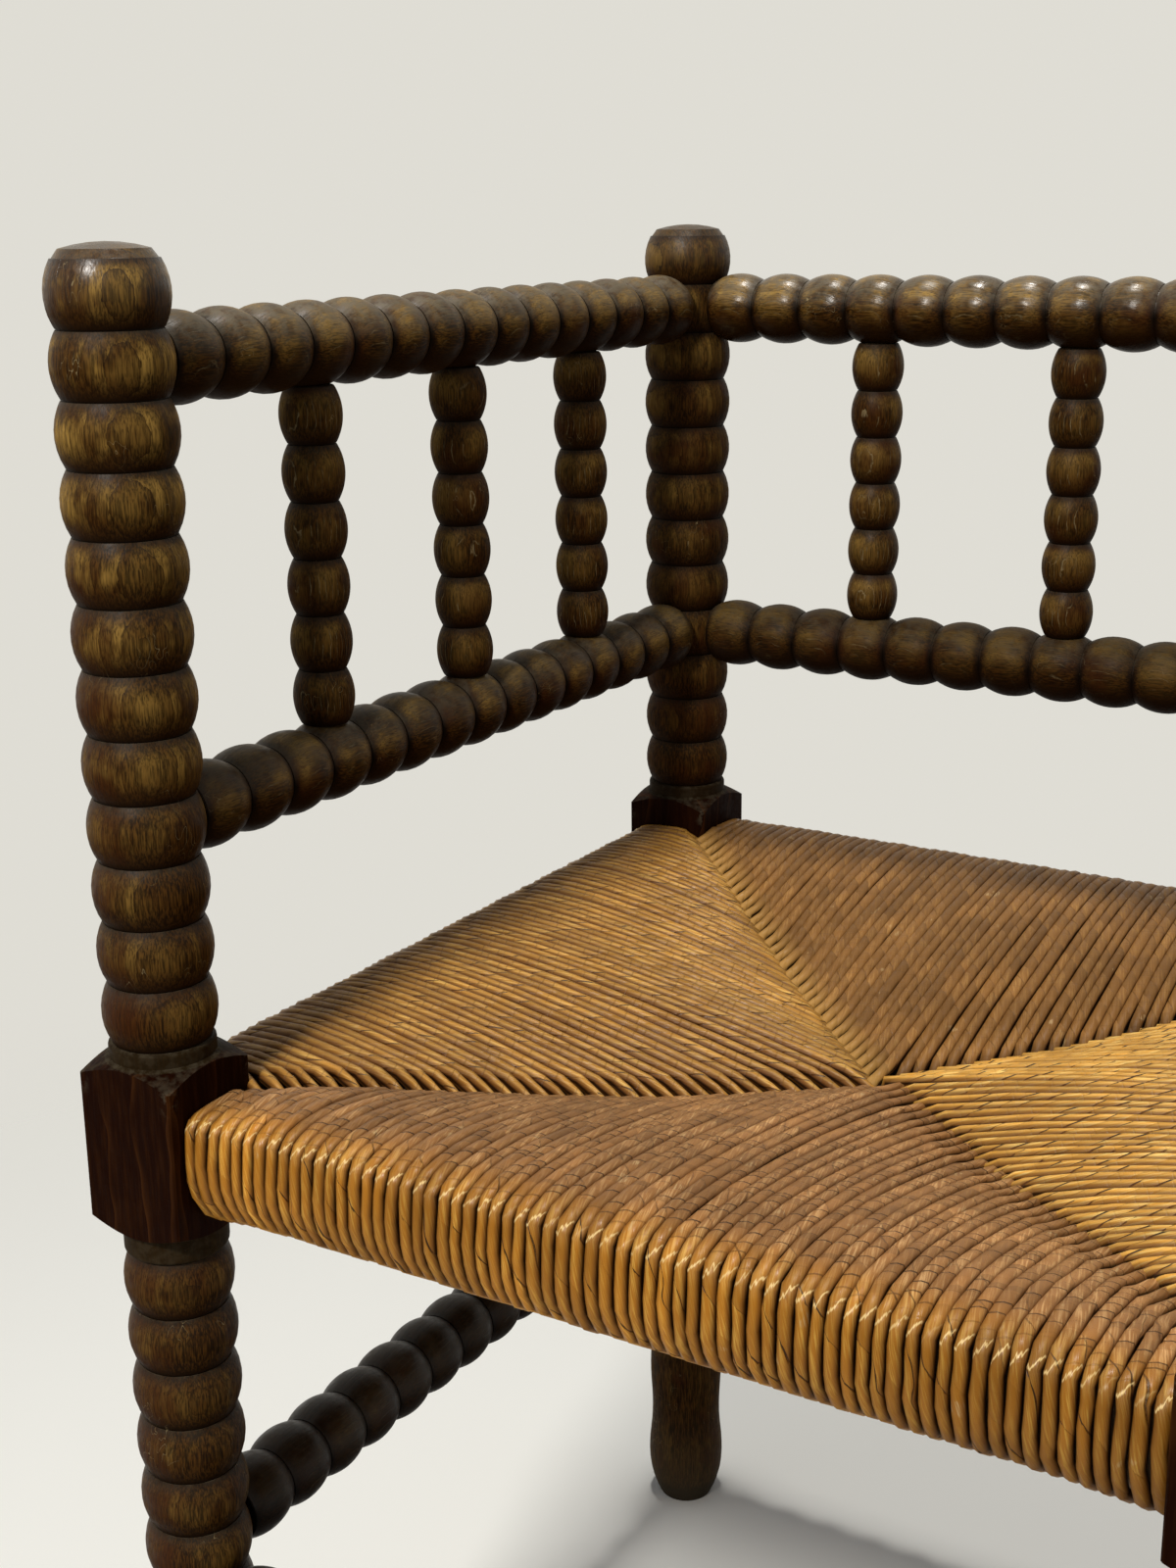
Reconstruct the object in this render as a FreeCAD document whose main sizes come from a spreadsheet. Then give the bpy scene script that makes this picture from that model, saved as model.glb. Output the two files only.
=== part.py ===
import FreeCAD, Part
import math
import os
import re
import Sketcher

# Corner chair: four bobbin-turned posts on a square plan, a rush seat on four hidden rails,
# bobbin-turned back rails and stretchers, and three bobbin-turned spindles in each back side.
# The origin is on the floor in the middle of the feet. +Z is up, the tall back post stands on
# +Y, the short front leg on -Y, the tall left post on -X and the tall right post on +X.

# Driving dimensions in millimetres, and counts
driving_sizes = {
    # plan: between the axes of two neighbouring posts
    "side_span": 427.5,
    # plain foot under the beads, told from its waist
    "foot_height": 120.0,
    "foot_waist_radius": 20.4,
    "foot_waist_height": 59.0,
    "foot_bulge_swell": 1.9,
    "foot_bulge_height": 28.0,
    "foot_base_inset": 6.8,
    "foot_shoulder_swell": 1.1,
    "foot_shoulder_height": 88.0,
    "foot_top_inset": 2.4,
    # beads of the legs: the crown stands a swell above the bead's rim
    "leg_bead_radius": 22.2,
    "leg_bead_swell": 3.1,
    "leg_bead_pitch": 25.0,
    "leg_bead_count": 10,
    # incised line between two beads, the same on every turned piece
    "groove_width": 0.6,
    "groove_depth": 0.35,
    # square block that takes the seat rails, its turned necks and sloping shoulders
    "neck_radius": 21.0,
    "neck_rounding": 1.6,
    "lower_neck_height": 10.5,
    "block_side": 46.5,
    "block_height": 73.5,
    "block_edge_chamfer": 0.8,
    "shoulder_drop": 6.5,
    "upper_neck_height": 6.1,
    # beads of the three tall posts above the block
    "back_bead_radius": 22.5,
    "back_bead_swell": 3.1,
    "back_bead_pitch": 24.58,
    "back_bead_count": 12,
    # stepped, tapered and slightly domed cap
    "cap_height": 5.7,
    "cap_edge_height": 3.3,
    "cap_step": 0.7,
    "cap_taper": 2.4,
    # back rails: each meets a bead of the post that has so many beads over it
    "rail_bead_radius": 17.55,
    "rail_bead_swell": 3.4,
    "rail_bead_count": 15,
    "rail_let_in": 3.75,
    "beads_over_top_rail_count": 1,
    "beads_over_lower_rail_count": 8,
    # stretchers: each meets a bead of the leg in the same way
    "stretcher_bead_radius": 17.55,
    "stretcher_bead_swell": 3.2,
    "stretcher_bead_count": 15,
    "stretcher_let_in": 2.2,
    "beads_over_high_stretcher_count": 5,
    "beads_over_low_stretcher_count": 6,
    # spindles: they stand under every fourth bead of the top rail
    "spindle_bead_radius": 13.0,
    "spindle_bead_swell": 3.0,
    "spindle_bead_count": 6,
    "spindle_let_in": 1.5,
    "rail_beads_per_spindle_count": 4,
    # hidden seat rails inside the rush
    "seat_rail_width": 26.0,
    "seat_rail_height": 38.0,
    "seat_rail_rounding": 10.0,
    "seat_rail_rise": 34.5,
    # round tenons and pins, with their clearances in the drilled sockets
    "tenon_radius": 7.5,
    "seat_tenon_radius": 9.0,
    "tenon_meeting_gap": 0.75,
    "pin_radius": 5.0,
    "pin_length": 8.0,
    "socket_clearance": 0.15,
    "socket_end_gap": 0.5,
    # rush over, under and beside the seat rails, and its dished top
    "rush_over_rail": 7.0,
    "rush_under_rail": 7.0,
    "rush_beside_rail": 6.0,
    "rush_top_rounding": 16.0,
    "rush_bottom_rounding": 19.0,
    "rush_rim_flat": 8.0,
    "rush_dish_depth": 36.0,
    "rush_dish_centre": 4.0,
    "rush_clearance": 0.3,
    # how far a cut runs past the surface that it opens
    "cut_overrun": 6.0,
}

# Corners in anticlockwise order from above: place in half diagonals of the plan, and the
# heading of the side that starts there. A piece of that side runs along its own +X.
corners = {
    "front": {"place": (0, -1), "heading": (1, 1), "turn": 45},
    "right": {"place": (1, 0), "heading": (-1, 1), "turn": 135},
    "back": {"place": (0, 1), "heading": (-1, -1), "turn": 225},
    "left": {"place": (-1, 0), "heading": (1, -1), "turn": 315},
}

doc = FreeCAD.newDocument("corner_chair")
sheet = doc.addObject("Spreadsheet::Sheet", "sizes")
for row, (alias, value) in enumerate(driving_sizes.items(), start=1):
    sheet.set(f"A{row}", alias)
    sheet.set(f"B{row}", str(value))
    sheet.setAlias(f"B{row}", alias)
doc.recompute()


# Working with named sizes
def tied(formula):
    return re.sub(r"[a-z]+(_[a-z]+)+", lambda word: "sizes." + word.group(0), str(formula))


def value_of(formula):
    return float(sheet.evalExpression(tied(formula)))


def bind(thing, prop, formula):
    thing.setExpression(prop, tied(formula))


# Heights, radii and distances worked out from the driving dimensions
half_diagonal = "(side_span / sqrt(2))"
leg_rim = "(leg_bead_radius - leg_bead_swell)"
back_rim = "(back_bead_radius - back_bead_swell)"
spindle_rim = "(spindle_bead_radius - spindle_bead_swell)"
leg_top = "(foot_height + leg_bead_count * leg_bead_pitch)"
block_bottom = f"({leg_top} + lower_neck_height)"
block_top = f"({block_bottom} + block_height)"
back_bottom = f"({block_top} + upper_neck_height)"
back_top = f"({back_bottom} + back_bead_count * back_bead_pitch)"
seat_rail_level = f"({block_bottom} + seat_rail_rise)"
rail_shoulder = "(back_bead_radius - rail_let_in)"
stretcher_shoulder = "(leg_bead_radius - stretcher_let_in)"
# Two tenons can meet in one post at one height, so each ends clear of the other's side.
tenon_end = "(tenon_radius + tenon_meeting_gap)"
seat_tenon_end = "(seat_tenon_radius + tenon_meeting_gap)"
rail_pitch = f"((side_span - 2 * {rail_shoulder}) / rail_bead_count)"
stretcher_pitch = f"((side_span - 2 * {stretcher_shoulder}) / stretcher_bead_count)"
rush_reach = "(side_span / 2 + seat_rail_width / 2 + rush_beside_rail)"
rush_top = f"({seat_rail_level} + seat_rail_height / 2 + rush_over_rail)"
rush_bottom = f"({seat_rail_level} - seat_rail_height / 2 - rush_under_rail)"


# Height of a bead's middle, told by the beads over it
def back_level(beads_over):
    return f"({back_top} - ({beads_over} + 0.5) * back_bead_pitch)"


def leg_level(beads_over):
    return f"({leg_top} - ({beads_over} + 0.5) * leg_bead_pitch)"


top_rail_height = back_level("beads_over_top_rail_count")
lower_rail_height = back_level("beads_over_lower_rail_count")
stretcher_heights = {
    "high": leg_level("beads_over_high_stretcher_count"),
    "low": leg_level("beads_over_low_stretcher_count"),
}
# Opposite stretchers lie level; the two that meet in one leg are a bead apart.
stretcher_step = {"front": "high", "right": "low", "back": "high", "left": "low"}


# Bodies, sketches and features
def new_body(label, corner=None, distance="0"):
    body = doc.addObject("PartDesign::Body", label)
    body.Label = label
    if corner:
        spot = corners[corner]
        body.Placement = FreeCAD.Placement(
            FreeCAD.Vector(), FreeCAD.Rotation(FreeCAD.Vector(0, 0, 1), spot["turn"]))
        for prop, place, heading in zip(("x", "y"), spot["place"], spot["heading"]):
            bind(body, f"Placement.Base.{prop}",
                 f"{half_diagonal} * ({place}) + {distance} / sqrt(2) * ({heading})")
    return body


def new_sketch(body, name, plane, shift="0", rise="0", lift="0"):
    sketch = body.newObject("Sketcher::SketchObject", name)
    support = [feature for feature in body.Origin.OriginFeatures if feature.Role == plane]
    sketch.AttachmentSupport = [(support[0], "")]
    sketch.MapMode = "FlatFace"
    for axis, formula in zip("xyz", (shift, rise, lift)):
        if formula != "0":
            bind(sketch, f"AttachmentOffset.Base.{axis}", formula)
    return sketch


# A closed outline whose corners are pinned by formulas. A corner may carry the radius of the
# arc that leads from it to the next corner; "in" makes that arc hollow. Corners run
# anticlockwise.
def draw_outline(sketch, outline):
    spots = [FreeCAD.Vector(value_of(corner[0]), value_of(corner[1]), 0) for corner in outline]
    ends = []
    for index, corner in enumerate(outline):
        first = spots[index]
        second = spots[(index + 1) % len(spots)]
        if len(corner) == 2:
            edge = sketch.addGeometry(Part.LineSegment(first, second), False)
            ends.append((edge, 1, 2))
            continue
        hollow = len(corner) == 4
        radius = value_of(corner[2])
        chord = second - first
        middle = (first + second) * 0.5
        side = FreeCAD.Vector(-chord.y, chord.x, 0).normalize()
        reach = math.sqrt(radius ** 2 - (chord.Length / 2) ** 2)
        centre = middle - side * reach if hollow else middle + side * reach
        start, end = (second, first) if hollow else (first, second)
        angles = [math.atan2(spot.y - centre.y, spot.x - centre.x) for spot in (start, end)]
        circle = Part.Circle(centre, FreeCAD.Vector(0, 0, 1), radius)
        edge = sketch.addGeometry(Part.ArcOfCircle(circle, angles[0], angles[1]), False)
        ends.append((edge, 2, 1) if hollow else (edge, 1, 2))
        rule = sketch.addConstraint(Sketcher.Constraint("Radius", edge, radius))
        bind(sketch, f"Constraints[{rule}]", corner[2])
    for index, (edge, start, end) in enumerate(ends):
        following = ends[(index + 1) % len(ends)]
        sketch.addConstraint(Sketcher.Constraint("Coincident", edge, end, following[0], following[1]))
        for kind, formula, spot in zip(("DistanceX", "DistanceY"), outline[index], spots[index]):
            rule = sketch.addConstraint(Sketcher.Constraint(kind, -1, 1, edge, start, spot))
            if formula != "0":
                bind(sketch, f"Constraints[{rule}]", formula)


# Turned work: the profile's corners are (radius, place along the axis), read upwards. The
# axis is upright, or lies along the piece's own X for rails and stretchers.
def turn_profile(body, name, profile, lying=False, shift="0", rise="0", plane="XZ_Plane", cut=False):
    sketch = new_sketch(body, name + "_profile", plane, shift, rise)
    outline = list(profile)
    if lying:
        last = len(profile) - 1
        outline = []
        for index in range(last, -1, -1):
            radius, place = profile[index][:2]
            arc = profile[index - 1][2:] if index else ()
            outline.append((place, radius) + tuple(arc))
    draw_outline(sketch, outline)
    kind = "PartDesign::Groove" if cut else "PartDesign::Revolution"
    feature = body.newObject(kind, name)
    feature.Profile = sketch
    feature.ReferenceAxis = (sketch, ["H_Axis" if lying else "V_Axis"])
    feature.Angle = 360
    sketch.Visibility = False
    return feature


def repeat_along(body, name, feature, direction, length, count):
    pattern = body.newObject("PartDesign::LinearPattern", name)
    pattern.Originals = [feature]
    pattern.Direction = (feature.Profile[0], [direction])
    bind(pattern, "Length", length)
    bind(pattern, "Occurrences", count)
    body.Tip = pattern
    return pattern


# One row of beads: each bead is a barrel on a slimmer core, with an incised line at each end
def add_beads(body, name, start, radius, swell, pitch, count, lying=False, rise="0"):
    width = f"({pitch} - groove_width)"
    rim = f"({radius} - {swell})"
    crown_arc = f"(({width} / 2) ^ 2 + {swell} ^ 2) / (2 * {swell})"
    first = f"{start} + groove_width / 2"
    profile = [
        ("0", first),
        (rim, first, crown_arc),
        (rim, f"{first} + {width}"),
        ("0", f"{first} + {width}"),
    ]
    bead = turn_profile(body, name, profile, lying, rise=rise)
    return repeat_along(body, name + "_row", bead, "H_Axis" if lying else "V_Axis",
                        f"{pitch} * ({count} - 1)", count)


# Pieces
# Half a wave from one widest or narrowest place to the next: two like arcs, tangent halfway
def wave(low_radius, low_place, high_radius, high_place, hollow_first):
    reach = f"({low_radius} - {high_radius})"
    rise = f"({high_place} - {low_place})"
    arc = f"(({reach} ^ 2 + {rise} ^ 2) / (4 * abs({reach})))"
    middle = (f"({low_radius} + {high_radius}) / 2", f"({low_place} + {high_place}) / 2")
    first = (low_radius, low_place, arc)
    second = middle + (arc,)
    if hollow_first:
        return [first + ("in",), second]
    return [first, second + ("in",)]


# A shallow arc from a widest place to an end that is set in from it
def end_arc(inset, rise):
    return f"(({inset} ^ 2 + {rise} ^ 2) / (2 * {inset}))"


def foot_outline():
    bulge = "(foot_waist_radius + foot_bulge_swell)"
    shoulder = "(foot_waist_radius + foot_shoulder_swell)"
    base_arc = end_arc("foot_base_inset", "foot_bulge_height")
    top_arc = end_arc("foot_top_inset", "(foot_height - foot_shoulder_height)")
    outline = [("0", "0"), (f"{bulge} - foot_base_inset", "0", base_arc)]
    outline += wave(bulge, "foot_bulge_height", "foot_waist_radius", "foot_waist_height", False)
    outline += wave("foot_waist_radius", "foot_waist_height", shoulder, "foot_shoulder_height", True)
    outline += [
        (shoulder, "foot_shoulder_height", top_arc),
        (f"{shoulder} - foot_top_inset", "foot_height"),
    ]
    return outline


def cap_outline(rim, start):
    dome_radius = f"({rim} - cap_step - cap_taper)"
    dome_rise = "(cap_height - cap_edge_height)"
    dome_arc = f"(({dome_radius} ^ 2 + {dome_rise} ^ 2) / (2 * {dome_rise}))"
    return [
        (f"{rim} - cap_step", start),
        (dome_radius, f"{start} + cap_edge_height", dome_arc),
        ("0", f"{start} + cap_height"),
    ]


def add_block(body):
    sketch = new_sketch(body, "block_square", "XY_Plane", lift=block_bottom)
    half = "block_side / 2"
    draw_outline(sketch, [(f"-{half}", f"-{half}"), (half, f"-{half}"), (half, half), (f"-{half}", half)])
    block = body.newObject("PartDesign::Pad", "block")
    block.Profile = sketch
    bind(block, "Length", "block_height")
    doc.recompute()
    upright = [f"Edge{number}" for number, edge in enumerate(block.Shape.Edges, start=1)
               if edge.BoundBox.ZLength > value_of("block_side / 2")]
    chamfer = body.newObject("PartDesign::Chamfer", "block_edges")
    chamfer.Base = (block, upright)
    bind(chamfer, "Size", "block_edge_chamfer")
    body.Tip = chamfer
    # sloping shoulders: cones that fall from the neck to the block's corners
    fall = "shoulder_drop / (block_side / sqrt(2) - neck_radius) * (block_side - neck_radius)"
    turn_profile(body, "top_shoulder", [
        ("neck_radius", block_top),
        ("block_side", f"{block_top} - {fall}"),
        ("block_side", f"{block_top} + cut_overrun"),
        ("neck_radius", f"{block_top} + cut_overrun"),
    ], cut=True)
    turn_profile(body, "bottom_shoulder", [
        ("neck_radius", f"{block_bottom} - cut_overrun"),
        ("block_side", f"{block_bottom} - cut_overrun"),
        ("block_side", f"{block_bottom} + {fall}"),
        ("neck_radius", block_bottom),
    ], cut=True)


# A drilled socket for a round tenon, with a shallow seat that follows the rail's first bead.
# Profile places are distances from the post's axis.
def rail_socket(body, name, plane, height, shoulder, post_radius, bead_radius, bead_swell, pitch):
    width = f"({pitch} - groove_width)"
    rim = f"({bead_radius} - {bead_swell})"
    crown_arc = f"((({width} / 2) ^ 2 + {bead_swell} ^ 2) / (2 * {bead_swell}))"
    mouth = f"({post_radius} + socket_clearance)"
    from_crown = f"({shoulder} + {pitch} / 2 - {mouth})"
    mouth_radius = f"({bead_radius} - {crown_arc} + sqrt({crown_arc} ^ 2 - {from_crown} ^ 2))"
    profile = [
        ("0", f"{tenon_end} - socket_end_gap"),
        ("tenon_radius + socket_clearance", f"{tenon_end} - socket_end_gap"),
        ("tenon_radius + socket_clearance", shoulder),
        (f"{rim} + socket_clearance", shoulder),
        (f"{mouth_radius} + socket_clearance", mouth),
        ("0", mouth),
    ]
    turn_profile(body, name, profile, lying=True, rise=height, plane=plane, cut=True)


def block_socket(body, name, plane):
    profile = [
        ("0", f"{seat_tenon_end} - socket_end_gap"),
        ("seat_tenon_radius + socket_clearance", f"{seat_tenon_end} - socket_end_gap"),
        ("seat_tenon_radius + socket_clearance", "block_side / 2 + cut_overrun"),
        ("0", "block_side / 2 + cut_overrun"),
    ]
    turn_profile(body, name, profile, lying=True, rise=seat_rail_level, plane=plane, cut=True)


# Which planes hold the sockets: a corner's own side runs along X, the side before it along Y
side_planes = {"own": "XZ_Plane", "before": "YZ_Plane"}
corner_names = list(corners)


def make_post(label, corner, rail_sides):
    body = new_body(label, corner)
    add_block(body)
    leg_core = f"({leg_rim} - groove_depth)"
    shaft = foot_outline() + [
        (leg_core, "foot_height"),
        (leg_core, leg_top + " + groove_width / 2"),
        ("neck_radius - neck_rounding", leg_top + " + groove_width / 2", "neck_rounding"),
        ("neck_radius", leg_top + " + groove_width / 2 + neck_rounding"),
    ]
    if rail_sides:
        back_core = f"({back_rim} - groove_depth)"
        shaft += [
            ("neck_radius", back_bottom + " - groove_width / 2 - neck_rounding", "neck_rounding"),
            ("neck_radius - neck_rounding", back_bottom + " - groove_width / 2"),
            (back_core, back_bottom + " - groove_width / 2"),
            (back_core, f"{back_top} - groove_width / 2"),
        ] + cap_outline(back_rim, f"{back_top} - groove_width / 2")
    else:
        shaft += [("neck_radius", back_bottom)] + cap_outline("neck_radius", back_bottom)
    turn_profile(body, "shaft", shaft)
    add_beads(body, "leg_bead", "foot_height", "leg_bead_radius", "leg_bead_swell",
              "leg_bead_pitch", "leg_bead_count")
    if rail_sides:
        add_beads(body, "back_bead", back_bottom, "back_bead_radius", "back_bead_swell",
                  "back_bead_pitch", "back_bead_count")
    before = corner_names[corner_names.index(corner) - 1]
    for side, plane in side_planes.items():
        block_socket(body, f"seat_rail_socket_{side}", plane)
        step = stretcher_step[corner if side == "own" else before]
        rail_socket(body, f"stretcher_socket_{side}", plane, stretcher_heights[step], stretcher_shoulder,
                    "leg_bead_radius", "stretcher_bead_radius", "stretcher_bead_swell", stretcher_pitch)
    for side in rail_sides:
        for name, height in (("top_rail", top_rail_height), ("lower_rail", lower_rail_height)):
            rail_socket(body, f"{name}_socket_{side}", side_planes[side], height, rail_shoulder,
                        "back_bead_radius", "rail_bead_radius", "rail_bead_swell", rail_pitch)
    return body


# A bobbin-turned rail from one post to the next, with a tenon at each end
def make_turned_rail(label, corner, height, shoulder, radius, swell, pitch, count):
    body = new_body(label, corner)
    core = f"({radius} - {swell} - groove_depth)"
    far_shoulder = f"(side_span - {shoulder})"
    profile = [
        ("0", tenon_end),
        ("tenon_radius", tenon_end),
        ("tenon_radius", shoulder),
        (core, shoulder),
        (core, far_shoulder),
        ("tenon_radius", far_shoulder),
        ("tenon_radius", f"side_span - {tenon_end}"),
        ("0", f"side_span - {tenon_end}"),
    ]
    turn_profile(body, "core", profile, lying=True, rise=height)
    add_beads(body, "bead", shoulder, radius, swell, pitch, count, lying=True, rise=height)
    return body


spindle_step = f"({rail_pitch} * rail_beads_per_spindle_count)"
spindle_count = "floor(rail_bead_count / rail_beads_per_spindle_count)"


def spindle_place(number):
    return f"({rail_shoulder} + ({number} * rail_beads_per_spindle_count - 0.5) * {rail_pitch})"


# Sockets for the spindles' ends: from below in a top rail, from above in a lower rail
def spindle_sockets(body, height, from_below):
    seat = "(rail_bead_radius - spindle_let_in)"
    hole_end = f"({seat} - pin_length - socket_end_gap)"
    wide = f"({spindle_rim} + socket_clearance)"
    narrow = "(pin_radius + socket_clearance)"
    mouth = "(rail_bead_radius + cut_overrun)"
    if from_below:
        profile = [
            ("0", f"-{mouth}"), (wide, f"-{mouth}"), (wide, f"-{seat}"),
            (narrow, f"-{seat}"), (narrow, f"-{hole_end}"), ("0", f"-{hole_end}"),
        ]
    else:
        profile = [
            ("0", hole_end), (narrow, hole_end), (narrow, seat),
            (wide, seat), (wide, mouth), ("0", mouth),
        ]
    socket = turn_profile(body, "spindle_socket", profile, shift=spindle_place(1), rise=height, cut=True)
    repeat_along(body, "spindle_sockets", socket, "H_Axis", f"{spindle_step} * ({spindle_count} - 1)",
                 spindle_count)


def make_spindle(label, corner, number):
    body = new_body(label, corner, spindle_place(number))
    bottom = f"({lower_rail_height} + rail_bead_radius - spindle_let_in)"
    top = f"({top_rail_height} - rail_bead_radius + spindle_let_in)"
    core = f"({spindle_rim} - groove_depth)"
    profile = [
        ("0", f"{bottom} - pin_length"),
        ("pin_radius", f"{bottom} - pin_length"),
        ("pin_radius", bottom),
        (core, bottom),
        (core, top),
        ("pin_radius", top),
        ("pin_radius", f"{top} + pin_length"),
        ("0", f"{top} + pin_length"),
    ]
    turn_profile(body, "core", profile)
    add_beads(body, "bead", bottom, "spindle_bead_radius", "spindle_bead_swell",
              f"(({top} - {bottom}) / spindle_bead_count)", "spindle_bead_count")
    return body


def make_seat_rail(label, corner):
    body = new_body(label, corner)
    width = "(seat_rail_width / 2)"
    height = "(seat_rail_height / 2)"
    section = new_sketch(body, "section", "YZ_Plane", rise=seat_rail_level, lift="block_side / 2")
    draw_outline(section, [(f"-{width}", f"-{height}"), (width, f"-{height}"),
                           (width, height), (f"-{width}", height)])
    bar = body.newObject("PartDesign::Pad", "bar")
    bar.Profile = section
    bind(bar, "Length", "side_span - block_side")
    doc.recompute()
    lengthwise = [f"Edge{number}" for number, edge in enumerate(bar.Shape.Edges, start=1)
                  if edge.Length > value_of("side_span / 2")]
    rounding = body.newObject("PartDesign::Fillet", "rounding")
    rounding.Base = (bar, lengthwise)
    bind(rounding, "Radius", "seat_rail_rounding")
    body.Tip = rounding
    turn_profile(body, "tenons", [
        ("0", seat_tenon_end),
        ("seat_tenon_radius", seat_tenon_end),
        ("seat_tenon_radius", f"side_span - {seat_tenon_end}"),
        ("0", f"side_span - {seat_tenon_end}"),
    ], lying=True, rise=seat_rail_level)
    return body


# The rush: a dished square cushion of strands round the four rails, notched at the blocks
def make_rush_seat(label):
    body = new_body(label)
    body.Placement = FreeCAD.Placement(
        FreeCAD.Vector(), FreeCAD.Rotation(FreeCAD.Vector(0, 0, 1), corners["front"]["turn"]))
    square = new_sketch(body, "seat_square", "XY_Plane", lift=rush_bottom)
    draw_outline(square, square_outline(rush_reach))
    slab = body.newObject("PartDesign::Pad", "slab")
    slab.Profile = square
    bind(slab, "Length", f"{rush_top} - {rush_bottom}")
    doc.recompute()
    for name, level, size in (("top_rounding", rush_top, "rush_top_rounding"),
                              ("bottom_rounding", rush_bottom, "rush_bottom_rounding")):
        base = body.Tip
        rim = [f"Edge{number}" for number, edge in enumerate(base.Shape.Edges, start=1)
               if edge.BoundBox.ZMin > value_of(level) - value_of("rush_clearance")
               and edge.BoundBox.ZMax < value_of(level) + value_of("rush_clearance")]
        fillet = body.newObject("PartDesign::Fillet", name)
        fillet.Base = (base, rim)
        bind(fillet, "Radius", size)
        body.Tip = fillet
        doc.recompute()
    # dished top: four slopes from the rim down to the middle
    rim_square = new_sketch(body, "dish_rim", "XY_Plane", lift=rush_top)
    draw_outline(rim_square, square_outline(f"({rush_reach} - rush_top_rounding - rush_rim_flat)"))
    centre_square = new_sketch(body, "dish_centre", "XY_Plane", lift=f"{rush_top} - rush_dish_depth")
    draw_outline(centre_square, square_outline("rush_dish_centre"))
    dish = body.newObject("PartDesign::SubtractiveLoft", "dish")
    dish.Profile = rim_square
    dish.Sections = [centre_square]
    dish.Ruled = True
    # corner notches round the blocks
    near = "(side_span / 2 - block_side / 2 - rush_clearance)"
    far = "(side_span / 2 + block_side)"
    notch_outline = new_sketch(body, "notch_outline", "XY_Plane", lift=f"{rush_bottom} - cut_overrun")
    draw_outline(notch_outline, [(near, near), (far, near), (far, far), (near, far)])
    notch = body.newObject("PartDesign::Pocket", "notch")
    notch.Profile = notch_outline
    notch.Reversed = True
    bind(notch, "Length", f"{rush_top} - {rush_bottom} + 2 * cut_overrun")
    repeat_round(body, "notches", notch)
    # channels for the four rails
    width = "(seat_rail_width / 2 + rush_clearance)"
    height = "(seat_rail_height / 2 + rush_clearance)"
    channel_outline = new_sketch(body, "channel_outline", "YZ_Plane",
                                 shift="side_span / 2", rise=seat_rail_level)
    draw_outline(channel_outline, [
        (f"-{width}", f"-{height} + seat_rail_rounding", "seat_rail_rounding"),
        (f"-{width} + seat_rail_rounding", f"-{height}"),
        (f"{width} - seat_rail_rounding", f"-{height}", "seat_rail_rounding"),
        (width, f"-{height} + seat_rail_rounding"),
        (width, f"{height} - seat_rail_rounding", "seat_rail_rounding"),
        (f"{width} - seat_rail_rounding", height),
        (f"-{width} + seat_rail_rounding", height, "seat_rail_rounding"),
        (f"-{width}", f"{height} - seat_rail_rounding"),
    ])
    channel = body.newObject("PartDesign::Pocket", "channel")
    channel.Profile = channel_outline
    channel.Midplane = True
    bind(channel, "Length", f"2 * ({rush_reach} + cut_overrun)")
    repeat_round(body, "channels", channel)
    return body


def square_outline(half):
    return [(f"-{half}", f"-{half}"), (half, f"-{half}"), (half, half), (f"-{half}", half)]


def repeat_round(body, name, cut):
    axes = [feature for feature in body.Origin.OriginFeatures if feature.Role == "Z_Axis"]
    pattern = body.newObject("PartDesign::PolarPattern", name)
    pattern.Originals = [cut]
    pattern.Axis = (axes[0], [""])
    pattern.Angle = 360
    pattern.Occurrences = len(corners)
    body.Tip = pattern


# The chair
posts = [
    make_post("front_leg", "front", ()),
    make_post("right_post", "right", ("own",)),
    make_post("back_post", "back", ("own", "before")),
    make_post("left_post", "left", ("before",)),
]

# a side is named by the corner that it starts from
side_names = {"front": "front_right", "right": "back_right", "back": "back_left", "left": "front_left"}
pieces = list(posts)
for corner, side in side_names.items():
    pieces.append(make_seat_rail(f"seat_rail_{side}", corner))
    pieces.append(make_turned_rail(
        f"stretcher_{side}", corner, stretcher_heights[stretcher_step[corner]], stretcher_shoulder,
        "stretcher_bead_radius", "stretcher_bead_swell", stretcher_pitch, "stretcher_bead_count"))

for corner, side in (("right", "right"), ("back", "left")):
    for name, height, from_below in (("top_rail", top_rail_height, True),
                                     ("lower_rail", lower_rail_height, False)):
        rail = make_turned_rail(f"{name}_{side}", corner, height, rail_shoulder, "rail_bead_radius",
                                "rail_bead_swell", rail_pitch, "rail_bead_count")
        spindle_sockets(rail, height, from_below)
        pieces.append(rail)
    for number in range(1, round(value_of(spindle_count)) + 1):
        pieces.append(make_spindle(f"spindle_{side}_{number}", corner, number))

pieces.append(make_rush_seat("rush_seat"))
doc.recompute()

# Every object has to be sound, and every cut has to take something away
for thing in doc.Objects:
    if {"Invalid", "Error"} & set(thing.State):
        raise RuntimeError(f"{thing.Name} of {thing.getParentGeoFeatureGroup()} failed: {thing.State}")
for piece in pieces:
    shape = piece.Shape
    if shape.isNull() or not shape.isValid() or len(shape.Solids) != 1:
        raise RuntimeError(f"{piece.Label} is not one sound solid")

os.makedirs("parts", exist_ok=True)
for piece in pieces:
    piece.Shape.exportStep(os.path.join("parts", piece.Label + ".step"))
    box = piece.Shape.BoundBox
    print(f"{piece.Label}: {piece.Shape.Volume / 1000:.1f} cm3, "
          f"{box.XLength:.1f} x {box.YLength:.1f} x {box.ZLength:.1f} mm")
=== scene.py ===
import bpy
import math
import random
from mathutils import Matrix, Vector


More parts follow.
